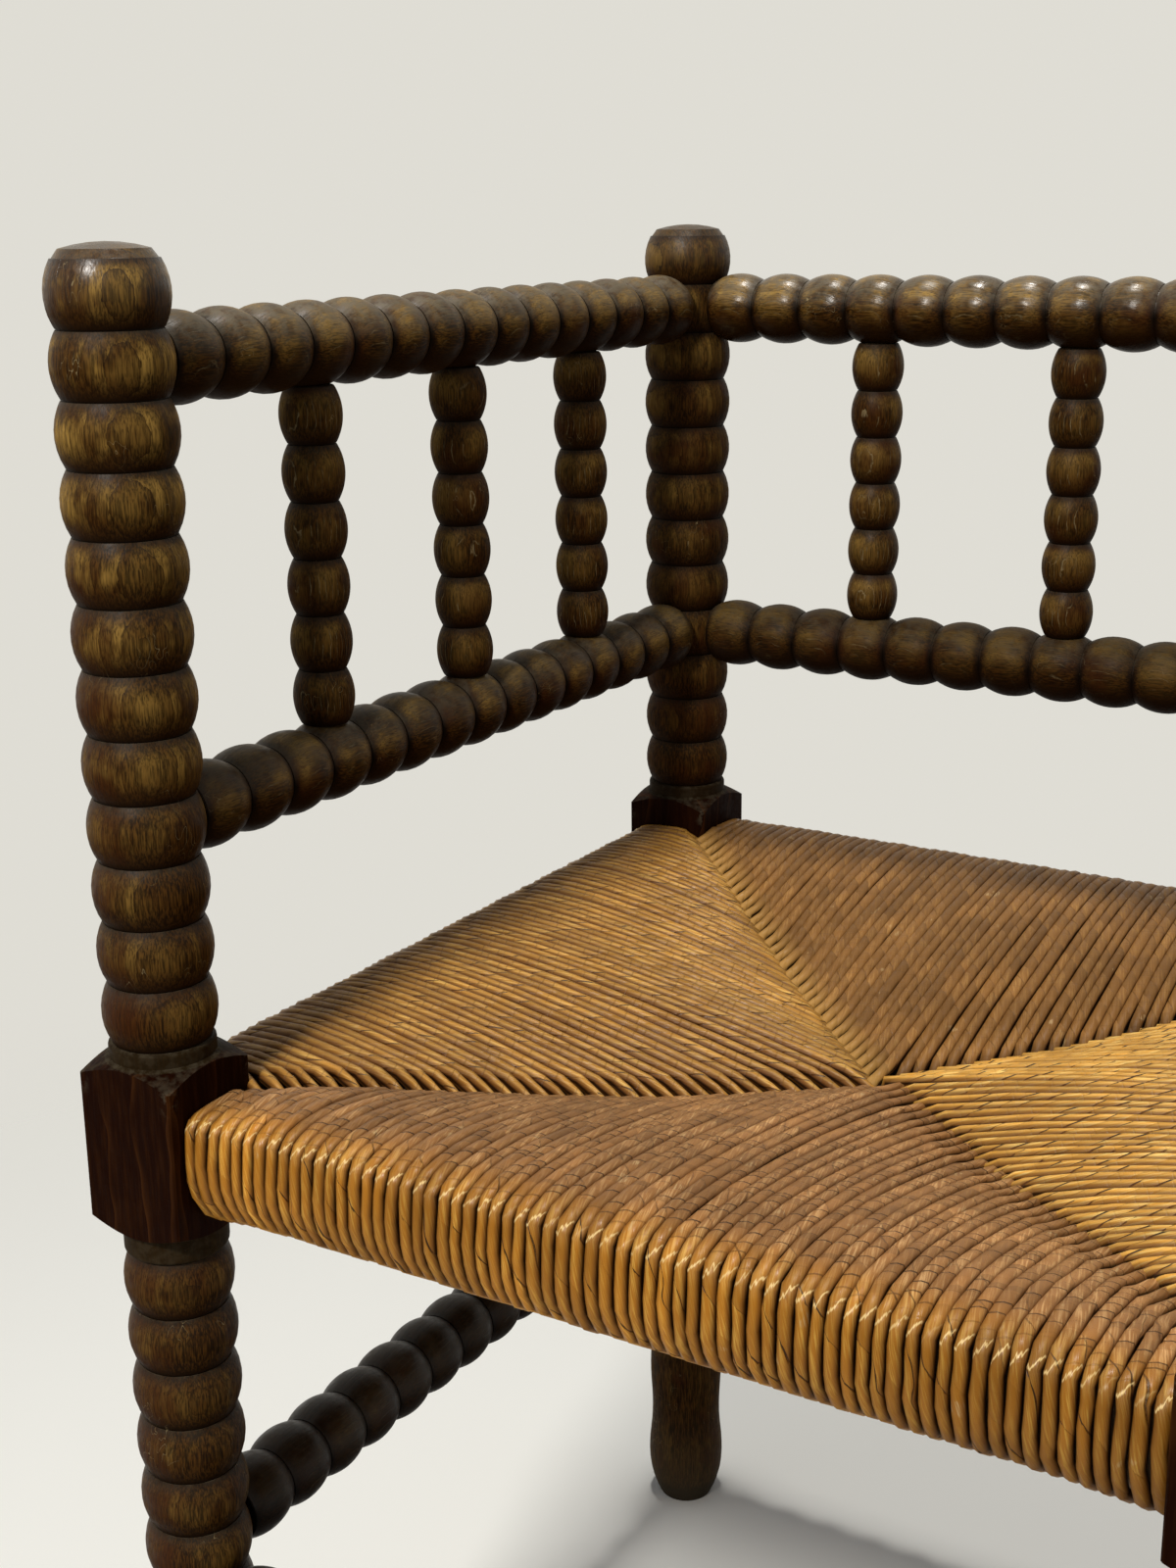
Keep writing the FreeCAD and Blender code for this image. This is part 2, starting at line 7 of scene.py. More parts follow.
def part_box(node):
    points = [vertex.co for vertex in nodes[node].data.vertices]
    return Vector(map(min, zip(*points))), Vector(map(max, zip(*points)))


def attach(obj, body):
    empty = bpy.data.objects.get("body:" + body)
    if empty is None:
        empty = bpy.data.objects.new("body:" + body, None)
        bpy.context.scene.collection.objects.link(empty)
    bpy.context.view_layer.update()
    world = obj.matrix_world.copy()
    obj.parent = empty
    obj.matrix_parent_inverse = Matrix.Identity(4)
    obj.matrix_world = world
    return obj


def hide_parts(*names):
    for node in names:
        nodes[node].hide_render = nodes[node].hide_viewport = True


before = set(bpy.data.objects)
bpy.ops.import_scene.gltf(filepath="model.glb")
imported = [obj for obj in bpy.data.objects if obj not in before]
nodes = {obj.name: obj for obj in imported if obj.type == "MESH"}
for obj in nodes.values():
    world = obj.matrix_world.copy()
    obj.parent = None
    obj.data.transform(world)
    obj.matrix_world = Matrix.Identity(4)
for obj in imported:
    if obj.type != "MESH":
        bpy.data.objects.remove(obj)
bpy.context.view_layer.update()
print("frame loaded,", len(nodes), "nodes")


def boxCentre(node):
    low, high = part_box(node)
    return (low + high) / 2


# corners of the chair on plan, and the sides between them, anticlockwise from the front leg
corners = {
    "front": boxCentre("front_leg"),
    "right": boxCentre("right_post"),
    "back": boxCentre("back_post"),
    "left": boxCentre("left_post"),
}
sides = {
    "front_right": ("front", "right"),
    "back_right": ("right", "back"),
    "back_left": ("back", "left"),
    "front_left": ("left", "front"),
}
seatLevel = boxCentre("seat_rail_front_left").z
sideSpan = (corners["front"] - corners["left"]).to_2d().length


# ---- small helpers for materials ----
def newMaterial(name):
    material = bpy.data.materials.new(name)
    material.use_nodes = True
    return material, material.node_tree, material.node_tree.nodes["Principled BSDF"]


def setInput(tree, socket, value):
    if isinstance(value, bpy.types.NodeSocket):
        tree.links.new(value, socket)
    else:
        socket.default_value = value


def addNode(tree, kind, inputs=None, **settings):
    node = tree.nodes.new(kind)
    for name, value in settings.items():
        setattr(node, name, value)
    for place, value in (inputs or {}).items():
        setInput(tree, node.inputs[place], value)
    return node


def sums(tree, operation, *values):
    node = addNode(tree, "ShaderNodeMath", dict(enumerate(values)), operation=operation)
    return node.outputs[0]


def times(tree, first, *others):
    for other in others:
        first = sums(tree, "MULTIPLY", first, other)
    return first


def vectorSums(tree, operation, *values, out=0):
    node = addNode(tree, "ShaderNodeVectorMath", dict(enumerate(values)), operation=operation)
    return node.outputs[out]


def vectorLength(tree, vector):
    return vectorSums(tree, "LENGTH", vector, out=1)


def splitVector(tree, vector):
    return addNode(tree, "ShaderNodeSeparateXYZ", {0: vector}).outputs


def joinVector(tree, x, y, z=0.0):
    return addNode(tree, "ShaderNodeCombineXYZ", {0: x, 1: y, 2: z}).outputs[0]


def objectPlace(tree):
    return addNode(tree, "ShaderNodeTexCoord").outputs["Object"]


def readAttribute(tree, name, out="Vector"):
    return addNode(tree, "ShaderNodeAttribute", attribute_name=name).outputs[out]


# a value from low to high becomes one from first to last
def fromTo(tree, value, low, high, first=0.0, last=1.0, smooth=True):
    node = addNode(tree, "ShaderNodeMapRange", {0: value, 1: low, 2: high, 3: first, 4: last})
    node.interpolation_type = "SMOOTHSTEP" if smooth else "LINEAR"
    return node.outputs[0]


def noise(tree, coordinates, scale, detail=2.0, roughness=0.5, out=0):
    node = addNode(tree, "ShaderNodeTexNoise", {
        "Vector": coordinates, "Scale": scale, "Detail": detail, "Roughness": roughness})
    return node.outputs[out]


# one random tone for each whole number
def toneOf(tree, number):
    node = addNode(tree, "ShaderNodeTexWhiteNoise", {"W": number}, noise_dimensions="1D")
    return node.outputs["Value"]


def mixColours(tree, factor, first, second, how="MIX"):
    first, second = (value + (1.0,) if isinstance(value, tuple) else value
                     for value in (first, second))
    node = addNode(tree, "ShaderNodeMix", {0: factor, 6: first, 7: second},
                   data_type="RGBA", blend_type=how)
    return node.outputs[2]


def mixNumbers(tree, factor, first, second):
    node = addNode(tree, "ShaderNodeMix", {0: factor, 2: first, 3: second}, data_type="FLOAT")
    return node.outputs[0]


def grey(tree, value):
    return addNode(tree, "ShaderNodeCombineColor", {0: value, 1: value, 2: value}).outputs[0]


def addBump(tree, shader, height, strength, distance):
    bump = addNode(tree, "ShaderNodeBump", {
        "Strength": strength, "Distance": distance, "Height": height})
    tree.links.new(bump.outputs[0], shader.inputs["Normal"])


# ---- bobbin-turned wood ----
woodLook = {
    "hollow": (0.0060, 0.0032, 0.0014),  # dirt and painted shade between two beads
    "stain": (0.0118, 0.0048, 0.0012),   # dark stain
    "body": (0.074, 0.0300, 0.0052),     # stained wood
    "red": (0.048, 0.0135, 0.0028),      # where the stain turned red
    "worn": (0.375, 0.222, 0.050),       # worn crowns
    "neck": (0.0190, 0.0115, 0.0045),    # the plain turning over and under a block
    "block": (0.0102, 0.0021, 0.0004),   # the square blocks keep their stain
    "blockGrain": (0.066, 0.022, 0.005),
    # dust, and painted grey sheen where the piece looks up
    "dustAndSheen": (0.120, 0.098, 0.064),
    "scratch": (0.34, 0.26, 0.13),
    "darkest": (0.0055, 0.0042, 0.0036),
    "ringSpacing": 0.0026,
    "pithPlace": (0.034, 0.052, 0.0),    # how far the tree's middle is from the piece's axis
    "bend": 0.006,                       # how far the rings wander
    "jag": 0.0016,                       # and how ragged their edges are
    "blockRings": 0.0140,
    "blockPith": (0.07, 0.11, 0.0),
    "blockBend": 0.022,
    "bump": (0.45, 0.0003),              # strength and depth
}
# noises in the wood: how each is drawn out along the grain, its scale, detail and roughness
woodNoises = {
    "bend": ((1.0, 1.0, 0.35), 55.0, 2.0, 0.5),
    "jag": ((1.0, 1.0, 0.35), 420.0, 2.0, 0.5),
    "fibre": ((1.0, 1.0, 0.07), 1500.0, 2.0, 0.6),
    "pore": ((1.0, 1.0, 0.045), 2600.0, 1.0, 0.5),
    "blotch": ((1.0, 1.0, 0.7), 58.0, 3.0, 0.6),
    "red": ((1.0, 1.0, 1.0), 40.0, 3.0, 0.55),
    "speck": ((1.0, 1.0, 1.0), 260.0, 3.0, 0.6),
    "arc": ((1.0, 1.0, 1.0), 130.0, 3.0, 0.6),
    "hair": ((1.0, 1.3, 0.55), 210.0, 1.0, 0.5),
    "scratched": ((1.0, 1.0, 1.0), 48.0, 1.0, 0.5),
    "wave": ((1.0, 1.0, 0.10), 420.0, 3.0, 0.55),
    "drift": ((1.0, 1.0, 0.45), 34.0, 2.0, 0.5),
}
# rims and crowns of the beads, in metres, as the turner's callipers give them,
# and how clearly pale rings show on the crowns
beads = {
    "post": {"rim": 0.0191, "crown": 0.0224, "paleRings": 0.0},
    "rail": {"rim": 0.01415, "crown": 0.01755, "paleRings": 0.35},
    "spindle": {"rim": 0.0100, "crown": 0.0130, "paleRings": 0.55},
}
# levels on a post, in metres
postLevels = {
    "scuffed": 0.075,             # the foot is scuffed up to here
    "block": (0.3805, 0.4540),
    "neckUnder": 0.0107,          # the neck begins this far under the block
    "neckOver": 0.0055,           # and ends this far over it
    "neckEdge": 0.0007,
    "blockEdge": 0.001,
    "paleTop": (0.017, 0.008),    # how far under its top a block's corners have lost their stain
    "dustUnder": (0.009, 0.004),  # dust lies from here under its top
    "dustOver": (0.004, 0.008),   # to here over it
    "worn": (0.44, 0.74),         # the wear grows between these
    "redToBrown": (0.62, 0.72),   # the red side fades between these
    "capDepth": 0.0058,
    "handled": (0.020, 0.004),    # hands polish from here to here under the cap
}
blockCorner = (0.0290, 0.0318)    # how far from the axis a block's corners are
seedStep = (0.37, 0.21, 0.53)     # how far the grain moves on for each seed
acrossGrain = (1.0, 1.0, 0.0)


def woodNoise(tree, place, name, out=0):
    drawn, scale, detail, roughness = woodNoises[name]
    return noise(tree, vectorSums(tree, "MULTIPLY", place, drawn), scale, detail, roughness, out)


# what the wood's colours are mixed from
def readWood(tree, axisPlace, axisTurn, bead, cap, seed):
    axis = addNode(tree, "ShaderNodeMapping", {
        "Vector": objectPlace(tree), "Location": axisPlace, "Rotation": axisTurn},
        vector_type="TEXTURE").outputs[0]
    shifted = vectorSums(tree, "ADD", axis, tuple(seed * step for step in seedStep))
    wood = {"axis": axis, "shifted": shifted, "level": splitVector(tree, axis)[2]}
    wood["radius"] = vectorLength(tree, vectorSums(tree, "MULTIPLY", axis, acrossGrain))
    normal = addNode(tree, "ShaderNodeNewGeometry").outputs["Normal"]
    wood["facing"] = splitVector(tree, normal)[2]
    # growth rings round a far pith: each has its own tone and a thin dark edge
    bent = axis
    for name in ("bend", "jag"):
        off = vectorSums(tree, "SUBTRACT", woodNoise(tree, shifted, name, out=1), (0.5, 0.5, 0.5))
        bent = vectorSums(tree, "MULTIPLY_ADD", off, (woodLook[name], woodLook[name], 0.0), bent)
    bent = vectorSums(tree, "ADD", bent, woodLook["pithPlace"])
    fromPith = vectorLength(tree, vectorSums(tree, "MULTIPLY", bent, (1.0, 1.0, 0.03)))
    rings = sums(tree, "DIVIDE", fromPith, woodLook["ringSpacing"])
    wood["ring"] = sums(tree, "FRACT", rings)
    wood["ringTone"] = toneOf(tree, sums(tree, "ADD", sums(tree, "FLOOR", rings), seed * 13.0))
    wood["late"] = sums(tree, "POWER", wood["ring"], 9.0)
    # short dark pores and fibres, and larger blotches
    for name in ("fibre", "pore", "blotch", "speck"):
        wood[name] = woodNoise(tree, shifted, name)
    wood["red"] = woodNoise(tree, vectorSums(tree, "ADD", shifted, (3.1, 1.7, 0.4)), "red")
    # wear on the crowns, dirt and painted shade in the hollows; the flat top of a cap is worn as
    # well
    crownShare = fromTo(tree, wood["radius"], bead["rim"], bead["crown"], smooth=False)
    if cap:
        onCap = fromTo(tree, wood["level"], cap, cap + 0.0004, 0.0, 0.34)
        crownShare = sums(tree, "MAXIMUM", crownShare, onCap)
        deep, high = postLevels["handled"]
        wood["handled"] = fromTo(tree, wood["level"], cap - deep, cap - high)
    wood["crownShare"] = crownShare
    return wood


def stainWood(tree, wood, look, turn, bead):
    colour = mixColours(tree, fromTo(tree, wood["fibre"], 0.38, 0.64),
                        woodLook["stain"], woodLook["body"])
    redShare = fromTo(tree, wood["red"], 0.46, 0.66, 0.0, 0.75)
    if "redSide" in look:     # the stain has turned red down one side of the post
        towards = look["redSide"] - turn
        towards = (math.cos(towards), math.sin(towards), 0.0)
        onSide = vectorSums(tree, "DOT_PRODUCT", wood["axis"], towards, out=1)
        onSide = sums(tree, "DIVIDE", onSide, bead["crown"])
        onSide = sums(tree, "MULTIPLY_ADD", wood["red"], 1.5, onSide)
        onSide = times(tree, fromTo(tree, onSide, 1.25, 1.75, 0.0, 0.80),
                       fromTo(tree, wood["level"], *postLevels["redToBrown"], 1.0, 0.25))
        redShare = sums(tree, "MAXIMUM", times(tree, redShare, 0.5), onSide)
    return mixColours(tree, redShare, colour, woodLook["red"]), redShare


def wearAndPaintedLight(tree, wood, look, redShare, onPost):
    share = times(tree, fromTo(tree, wood["crownShare"], 0.10, 0.80),
                  fromTo(tree, wood["blotch"], 0.38, 0.64, 0.06, 0.95),
                  fromTo(tree, wood["ringTone"], 0.0, 1.0, 0.32 if onPost else 0.62, 1.10,
                         smooth=False),
                  fromTo(tree, wood["fibre"], 0.30, 0.60, 0.40, look["wear"]))
    if "redSide" in look:
        share = times(tree, share, fromTo(tree, redShare, 0.3, 1.0, 1.0, 0.35))
    if onPost:    # the legs are touched least, and each bead's lower half is painted in shade
        return times(tree, share, fromTo(tree, wood["level"], *postLevels["worn"], 0.30, 1.0),
                     fromTo(tree, wood["facing"], -0.50, 0.12, 0.12, 1.0))
    # rails are worn by arms from above, and painted light from above makes their upper halves
    # lighter
    return times(tree, share, fromTo(tree, wood["facing"], -0.35, 0.65, 0.22, 1.15))


def ageWood(tree, wood, look, colour, paleRings, onPost):
    colour = mixColours(tree, times(tree, wood["late"], 0.75 if onPost else 0.40), colour,
                        woodLook["stain"])
    colour = mixColours(tree, fromTo(tree, wood["pore"], 0.56, 0.68, 0.0, 0.62), colour,
                        woodLook["stain"])
    if paleRings:     # the rings show as thin pale arcs on the crowns
        patches = woodNoise(tree, wood["shifted"], "arc")
        arcs = times(tree, fromTo(tree, wood["ring"], 0.88, 0.97),
                     fromTo(tree, wood["crownShare"], 0.55, 0.95),
                     fromTo(tree, patches, 0.42, 0.60, 0.0, paleRings))
        colour = mixColours(tree, arcs, colour, woodLook["scratch"])
    # dirt and painted shade in the hollows between beads, darkest on faces that look down
    deep = times(tree, fromTo(tree, wood["crownShare"], 0.0, 0.46, 1.0, 0.0),
                 fromTo(tree, wood["facing"], -0.1, 0.6, 1.0, 0.45))
    colour = mixColours(tree, deep, colour, woodLook["hollow"])
    # dust and painted grey sheen where the piece looks up, but hands keep the top of a post clean
    dustAndSheenFrom = look.get("dustAndSheenFrom", 0.20)
    dustAndSheen = times(tree, fromTo(tree, wood["facing"], dustAndSheenFrom, 0.85, 0.0, look["dustAndSheen"]),
                 fromTo(tree, wood["speck"], 0.34, 0.66, 0.30, 1.0))
    if "handled" in wood:
        dustAndSheen = times(tree, dustAndSheen, sums(tree, "MULTIPLY_ADD", wood["handled"], -0.45, 1.0))
    dustAndSheen = times(tree, dustAndSheen, 1.0 - look["darkness"] * 0.85)
    colour = mixColours(tree, dustAndSheen, colour, woodLook["dustAndSheen"])
    # fine pale scratches, in places
    hair = sums(tree, "SUBTRACT", woodNoise(tree, wood["shifted"], "hair"), 0.5)
    line = fromTo(tree, sums(tree, "ABSOLUTE", hair), 0.0, 0.006, 1.0, 0.0)
    places = vectorSums(tree, "ADD", wood["shifted"], (0.7, 2.9, 1.3))
    scratched = fromTo(tree, woodNoise(tree, places, "scratched"), 0.60, 0.68)
    colour = mixColours(tree, times(tree, line, scratched, 0.7 * (1 - look["darkness"])), colour,
                        woodLook["scratch"])
    # painted shade: undersides are darkened towards the dark stain
    return mixColours(tree, fromTo(tree, wood["facing"], -0.62, 0.06, 0.92, 0.0), colour,
                      woodLook["stain"])


# the square block, the necks over and under it, and the scuffed foot
def dressBlock(tree, wood, colour, sheen, crown):
    level, radius, speck = wood["level"], wood["radius"], wood["speck"]
    low, high = postLevels["block"]
    neckLow, neckHigh = low - postLevels["neckUnder"], high + postLevels["neckOver"]
    inNeck = times(tree, fromTo(tree, level, neckLow, neckLow + postLevels["neckEdge"]),
                   fromTo(tree, level, neckHigh, neckHigh + postLevels["neckEdge"], 1.0, 0.0))
    neckColour = mixColours(tree, fromTo(tree, speck, 0.38, 0.66, 0.0, 0.14), woodLook["neck"],
                            woodLook["dustAndSheen"])
    colour = mixColours(tree, times(tree, inNeck, 0.92), colour, neckColour)
    edge = postLevels["blockEdge"]
    flatShare = times(tree, fromTo(tree, level, low, low + edge),
                      fromTo(tree, level, high - edge, high, 1.0, 0.0),
                      fromTo(tree, radius, crown + 0.0002, crown + 0.0006))
    wave = woodNoise(tree, wood["shifted"], "wave")
    blockColour = mixColours(tree, fromTo(tree, wave, 0.40, 0.80, 0.0, 0.24), woodLook["block"],
                             woodLook["blockGrain"])
    # a few long wavy growth lines
    drift = woodNoise(tree, wood["shifted"], "drift")
    fromFar = vectorSums(tree, "ADD", wood["axis"], woodLook["blockPith"])
    fromFar = vectorLength(tree, vectorSums(tree, "MULTIPLY", fromFar, acrossGrain))
    fromFar = sums(tree, "MULTIPLY_ADD", drift, woodLook["blockBend"], fromFar)
    growth = sums(tree, "FRACT", sums(tree, "DIVIDE", fromFar, woodLook["blockRings"]))
    growthLine = times(tree, fromTo(tree, growth, 0.55, 0.95, smooth=False),
                       fromTo(tree, growth, 0.95, 0.97, 1.0, 0.0))
    growthLine = times(tree, sums(tree, "POWER", growthLine, 3.5),
                       fromTo(tree, drift, 0.35, 0.60, 0.15, 0.75))
    blockColour = mixColours(tree, growthLine, blockColour, woodLook["blockGrain"])
    # the corners' tops have lost their stain
    deep, shallow = postLevels["paleTop"]
    corner = times(tree, fromTo(tree, radius, *blockCorner),
                   fromTo(tree, level, high - deep, high - shallow),
                   fromTo(tree, speck, 0.48, 0.62, 0.0, 0.42))
    blockColour = mixColours(tree, corner, blockColour, woodLook["dustAndSheen"])
    colour = mixColours(tree, flatShare, colour, blockColour)
    # dust lies on the shoulders and the foot of the neck
    deep, shallow = postLevels["dustUnder"]
    start, end = postLevels["dustOver"]
    lying = times(tree, fromTo(tree, level, high - deep, high - shallow),
                  fromTo(tree, level, high + start, high + end, 1.0, 0.0),
                  fromTo(tree, wood["facing"], 0.3, 0.9),
                  fromTo(tree, speck, 0.38, 0.68, 0.0, 0.30))
    colour = mixColours(tree, lying, colour, woodLook["dustAndSheen"])
    sheen = mixNumbers(tree, sums(tree, "MAXIMUM", flatShare, inNeck), sheen, 0.015)
    scuffed = fromTo(tree, level, 0.0, postLevels["scuffed"], 0.34, 0.0)
    return mixColours(tree, scuffed, colour, woodLook["dustAndSheen"]), sheen


# a post is given the level of its cap, a rail or a spindle none
def makeTurnedWood(name, axisPlace, axisTurn, bead, look, seed, cap=None):
    material, tree, shader = newMaterial(name)
    wood = readWood(tree, axisPlace, axisTurn, bead, cap, seed)
    colour, redShare = stainWood(tree, wood, look, axisTurn[2], bead)
    wear = wearAndPaintedLight(tree, wood, look, redShare, bool(cap))
    # worn crowns, with painted light on upper faces and painted shade on lower ones
    colour = mixColours(tree, wear, colour, woodLook["worn"])
    colour = ageWood(tree, wood, look, colour, bead["paleRings"], bool(cap))
    shine = 0.28 * look["polish"]
    roughness = sums(tree, "ADD", fromTo(tree, wood["speck"], 0.40, 0.60, 0.0, 0.12),
                     fromTo(tree, wood["blotch"], 0.3, 0.75, 0.46 - shine, 0.58 - shine))
    # polished by hands from above only
    sheen = fromTo(tree, wood["facing"], -0.15, 0.45, 0.02, 0.045 + 0.20 * look["polish"])
    if cap:
        sheen = sums(tree, "MULTIPLY_ADD", wood["handled"], 0.20, sheen)
        roughness = sums(tree, "MULTIPLY_ADD", wood["handled"], -0.16, roughness)
        colour, sheen = dressBlock(tree, wood, colour, sheen, bead["crown"])
    if look["darkness"]:
        colour = mixColours(tree, look["darkness"], colour, woodLook["darkest"])
    tree.links.new(colour, shader.inputs["Base Color"])
    tree.links.new(sheen, shader.inputs["Specular IOR Level"])
    tree.links.new(roughness, shader.inputs["Roughness"])
    height = sums(tree, "MULTIPLY_ADD", wood["late"], -0.4, wood["speck"])
    height = sums(tree, "MULTIPLY_ADD", wood["fibre"], 0.5, height)
    addBump(tree, shader, height, *woodLook["bump"])
    return material


def dress(node, material):
    nodes[node].data.materials.clear()
    nodes[node].data.materials.append(material)


# how each piece's grain is turned about its axis, how worn, dark and polished it is,
# how much dust and painted sheen it shows, and how far it has to look up for them to lie on it
postLook = {
    "front_leg": {"corner": "front", "turn": 0.3,
                  "wear": 0.9, "darkness": 0.0, "polish": 0.1, "dustAndSheen": 0.6},
    "right_post": {"corner": "right", "turn": 1.9,
                   "wear": 0.8, "darkness": 0.0, "polish": 0.1, "dustAndSheen": 0.6},
    "back_post": {"corner": "back", "turn": 2.4,
                  "wear": 0.60, "darkness": 0.12, "polish": 0.0, "dustAndSheen": 0.5},
    "left_post": {"corner": "left", "turn": 0.75, "redSide": 3.65,
                  "wear": 1.12, "darkness": 0.0, "polish": 0.3, "dustAndSheen": 0.7},
}
railLook = {
    "top_rail_right": {"wear": 0.95, "darkness": 0.0, "polish": 1.1, "dustAndSheen": 0.75,
                       "dustAndSheenFrom": 0.0},
    "lower_rail_right": {"wear": 0.40, "darkness": 0.28, "polish": 0.2, "dustAndSheen": 0.6},
    "top_rail_left": {"wear": 0.75, "darkness": 0.0, "polish": 0.4, "dustAndSheen": 0.90,
                      "dustAndSheenFrom": -0.05},
    "lower_rail_left": {"wear": 0.80, "darkness": 0.14, "polish": 0.4, "dustAndSheen": 0.65,
                        "dustAndSheenFrom": 0.0},
    "stretcher": {"wear": 0.10, "darkness": 0.72, "polish": 0.6, "dustAndSheen": 0.85,
                  "dustAndSheenFrom": -0.10},
    "spindle_right": {"wear": 0.72, "darkness": 0.06, "polish": 0.3, "dustAndSheen": 0.5},
    "spindle_left": {"wear": 0.70, "darkness": 0.05, "polish": 0.1, "dustAndSheen": 0.5},
}
# how much the grain differs from side to side and from spindle to spindle
grainSteps = {"railSide": 2.7, "spindleSide": 5.1, "spindleTurn": 2.0}

for index, (node, look) in enumerate(postLook.items()):
    spot = corners[look["corner"]]
    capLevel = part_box(node)[1].z - postLevels["capDepth"]
    dress(node, makeTurnedWood("wood_" + node, (spot.x, spot.y, 0.0), (0.0, 0.0, look["turn"]),
                               beads["post"], look, index + 1.0, capLevel))

for index, (side, (start, end)) in enumerate(sides.items()):
    run = corners[end] - corners[start]
    heading = math.atan2(run.y, run.x)
    handSide = side.replace("back_", "")
    for name in ("stretcher_", "top_rail_", "lower_rail_"):
        node = name + (side if name == "stretcher_" else handSide)
        if node not in nodes:     # no back rails in front
            continue
        look = railLook[node if node in railLook else "stretcher"]
        dress(node, makeTurnedWood(
            "wood_" + node, boxCentre(node), (0.0, math.radians(90), heading), beads["rail"],
            look, index * grainSteps["railSide"] + len(name)))
    if side.startswith("back"):
        for number in (1, 2, 3):
            node = f"spindle_{handSide}_{number}"
            dress(node, makeTurnedWood(
                "wood_" + node, boxCentre(node), (0.0, 0.0, number * grainSteps["spindleTurn"]),
                beads["spindle"], railLook["spindle_" + handSide],
                index * grainSteps["spindleSide"] + number))

seatRailLook = {"dark": (0.10, 0.055, 0.025), "pale": (0.24, 0.15, 0.08), "roughness": 0.7}


def makeRailWood():
    material, tree, shader = newMaterial("seat_rail_wood")
    grain = vectorSums(tree, "MULTIPLY", objectPlace(tree), (1.0, 1.0, 8.0))
    colour = mixColours(tree, noise(tree, grain, 120.0, 4.0), seatRailLook["dark"],
                        seatRailLook["pale"])
    tree.links.new(colour, shader.inputs["Base Color"])
    shader.inputs["Roughness"].default_value = seatRailLook["roughness"]
    return material


railWood = makeRailWood()
for side in sides:
    dress("seat_rail_" + side, railWood)
print("wood done")

# ---- rush seat ----
rush = {
    "strands": 68,          # wraps on each rail
    "height": 0.0054,       # thickness of a strand
    "spread": 1.02,         # width of a strand against its pitch: neighbours press together
    "sideSpread": 0.97,     # on the outer side a dark line shows between them
    "unevenness": 0.13,     # how much wider or narrower a strand may be than the mean
    "fatness": (0.95, 1.06),
    "swell": (0.94, 1.06),
    "lift": (-0.00025, 0.00030),
    "wobble": 0.00040,
    "blockSize": 0.0465,
    "blockGap": 0.0006,
    "fillingOut": 0.045,    # a wrap is full this far from the block
    "underCentre": -0.0225,
    "doming": 1.5,          # how long a strand stays level before it falls to the middle
    "rejoin": 0.0130,       # past this a strand's end has come back to the panel's surface
    # painted shade deep between the panels, where an end slips under; less than nought paints the
    # tip pale
    "tipShade": {"over": (0.6, 0.0, 0.0), "under": (1.0, 1.0, 0.95, 0.60),
                 "back_right": (-0.4, -1.0, -0.9, -0.4)},
    # how deep the ends that slip under lie, which also scales the tips' painted shade
    "sunk": {"front_left": 1.0, "front_right": 0.72, "back_right": 1.0, "back_left": 0.60},
    # the ends that lie over reach this far past the diagonal, hook this far towards their own
    # corner, and narrow to this share of their width
    "hooks": {"front_left": (0.0074, 0.0050, 0.92), "front_right": (0.0032, 0.0015, 0.92),
              "back_right": (0.0048, 0.0045, 1.0), "back_left": (0.0068, 0.0110, 0.48)},
    "topFlatness": {"front_left": 0.60, "front_right": 0.95, "back_right": 0.62,
                    "back_left": 0.90},
}
# a wrap's line in (out from the rail's axis, up from the rail's middle), beside a post and
# where it is full
wrapAtPost = [
    (-0.0090, 0.0209), (0.0036, 0.0205), (0.0100, 0.0197), (0.0131, 0.0186), (0.0147, 0.0165),
    (0.0155, 0.0118), (0.0164, 0.0040), (0.0160, -0.0036), (0.0139, -0.0108), (0.0092, -0.0190),
    (0.0012, -0.0250), (-0.0090, -0.0268),
]
wrapWhenFull = [
    (-0.0100, 0.0240), (0.0026, 0.0236), (0.0092, 0.0221), (0.0129, 0.0206), (0.0148, 0.0181),
    (0.0156, 0.0126), (0.0165, 0.0042), (0.0162, -0.0032), (0.0145, -0.0095), (0.0104, -0.0165),
    (0.0024, -0.0220), (-0.0090, -0.0238),
]
fullness = {"front_left": 1.0, "front_right": 1.0, "back_left": 0.15, "back_right": 0.15}
# the strands' level where two panels meet, by the distance from the corner's rail: the seat
# has sunk
valley = [(0.023, 0.0180), (0.040, 0.0155), (0.060, 0.0115), (0.085, 0.0058), (0.110, -0.0002),
          (0.145, -0.0066), (0.175, -0.0097), (0.215, -0.0122)]
# an end that lies over: share of the reach past the diagonal, out, up, and the shares of the
# narrowing and of the hook
hookedEnd = [(1.0, 0.0, -0.0100, 1.0, 1.10), (1.0, 0.0003, -0.0040, 0.8, 1.0),
             (0.5, 0.0, 0.0006, 0.6, 0.62), (0.0, 0.0044, 0.0022, 0.2, 0.26)]
firstPlace = rush["blockSize"] / 2 + rush["blockGap"]
strandPitch = (sideSpan - 2 * firstPlace) / rush["strands"]
flatFrom = 3       # the station where a strand's flat top begins
bendPlace = 13     # the station where it turns down over the rail


def readTable(table, where):
    for (low, first), (high, second) in zip(table, table[1:]):
        if where <= high:
            share = max(0.0, (where - low) / (high - low))
            return first + (second - first) * share
    return table[-1][1]


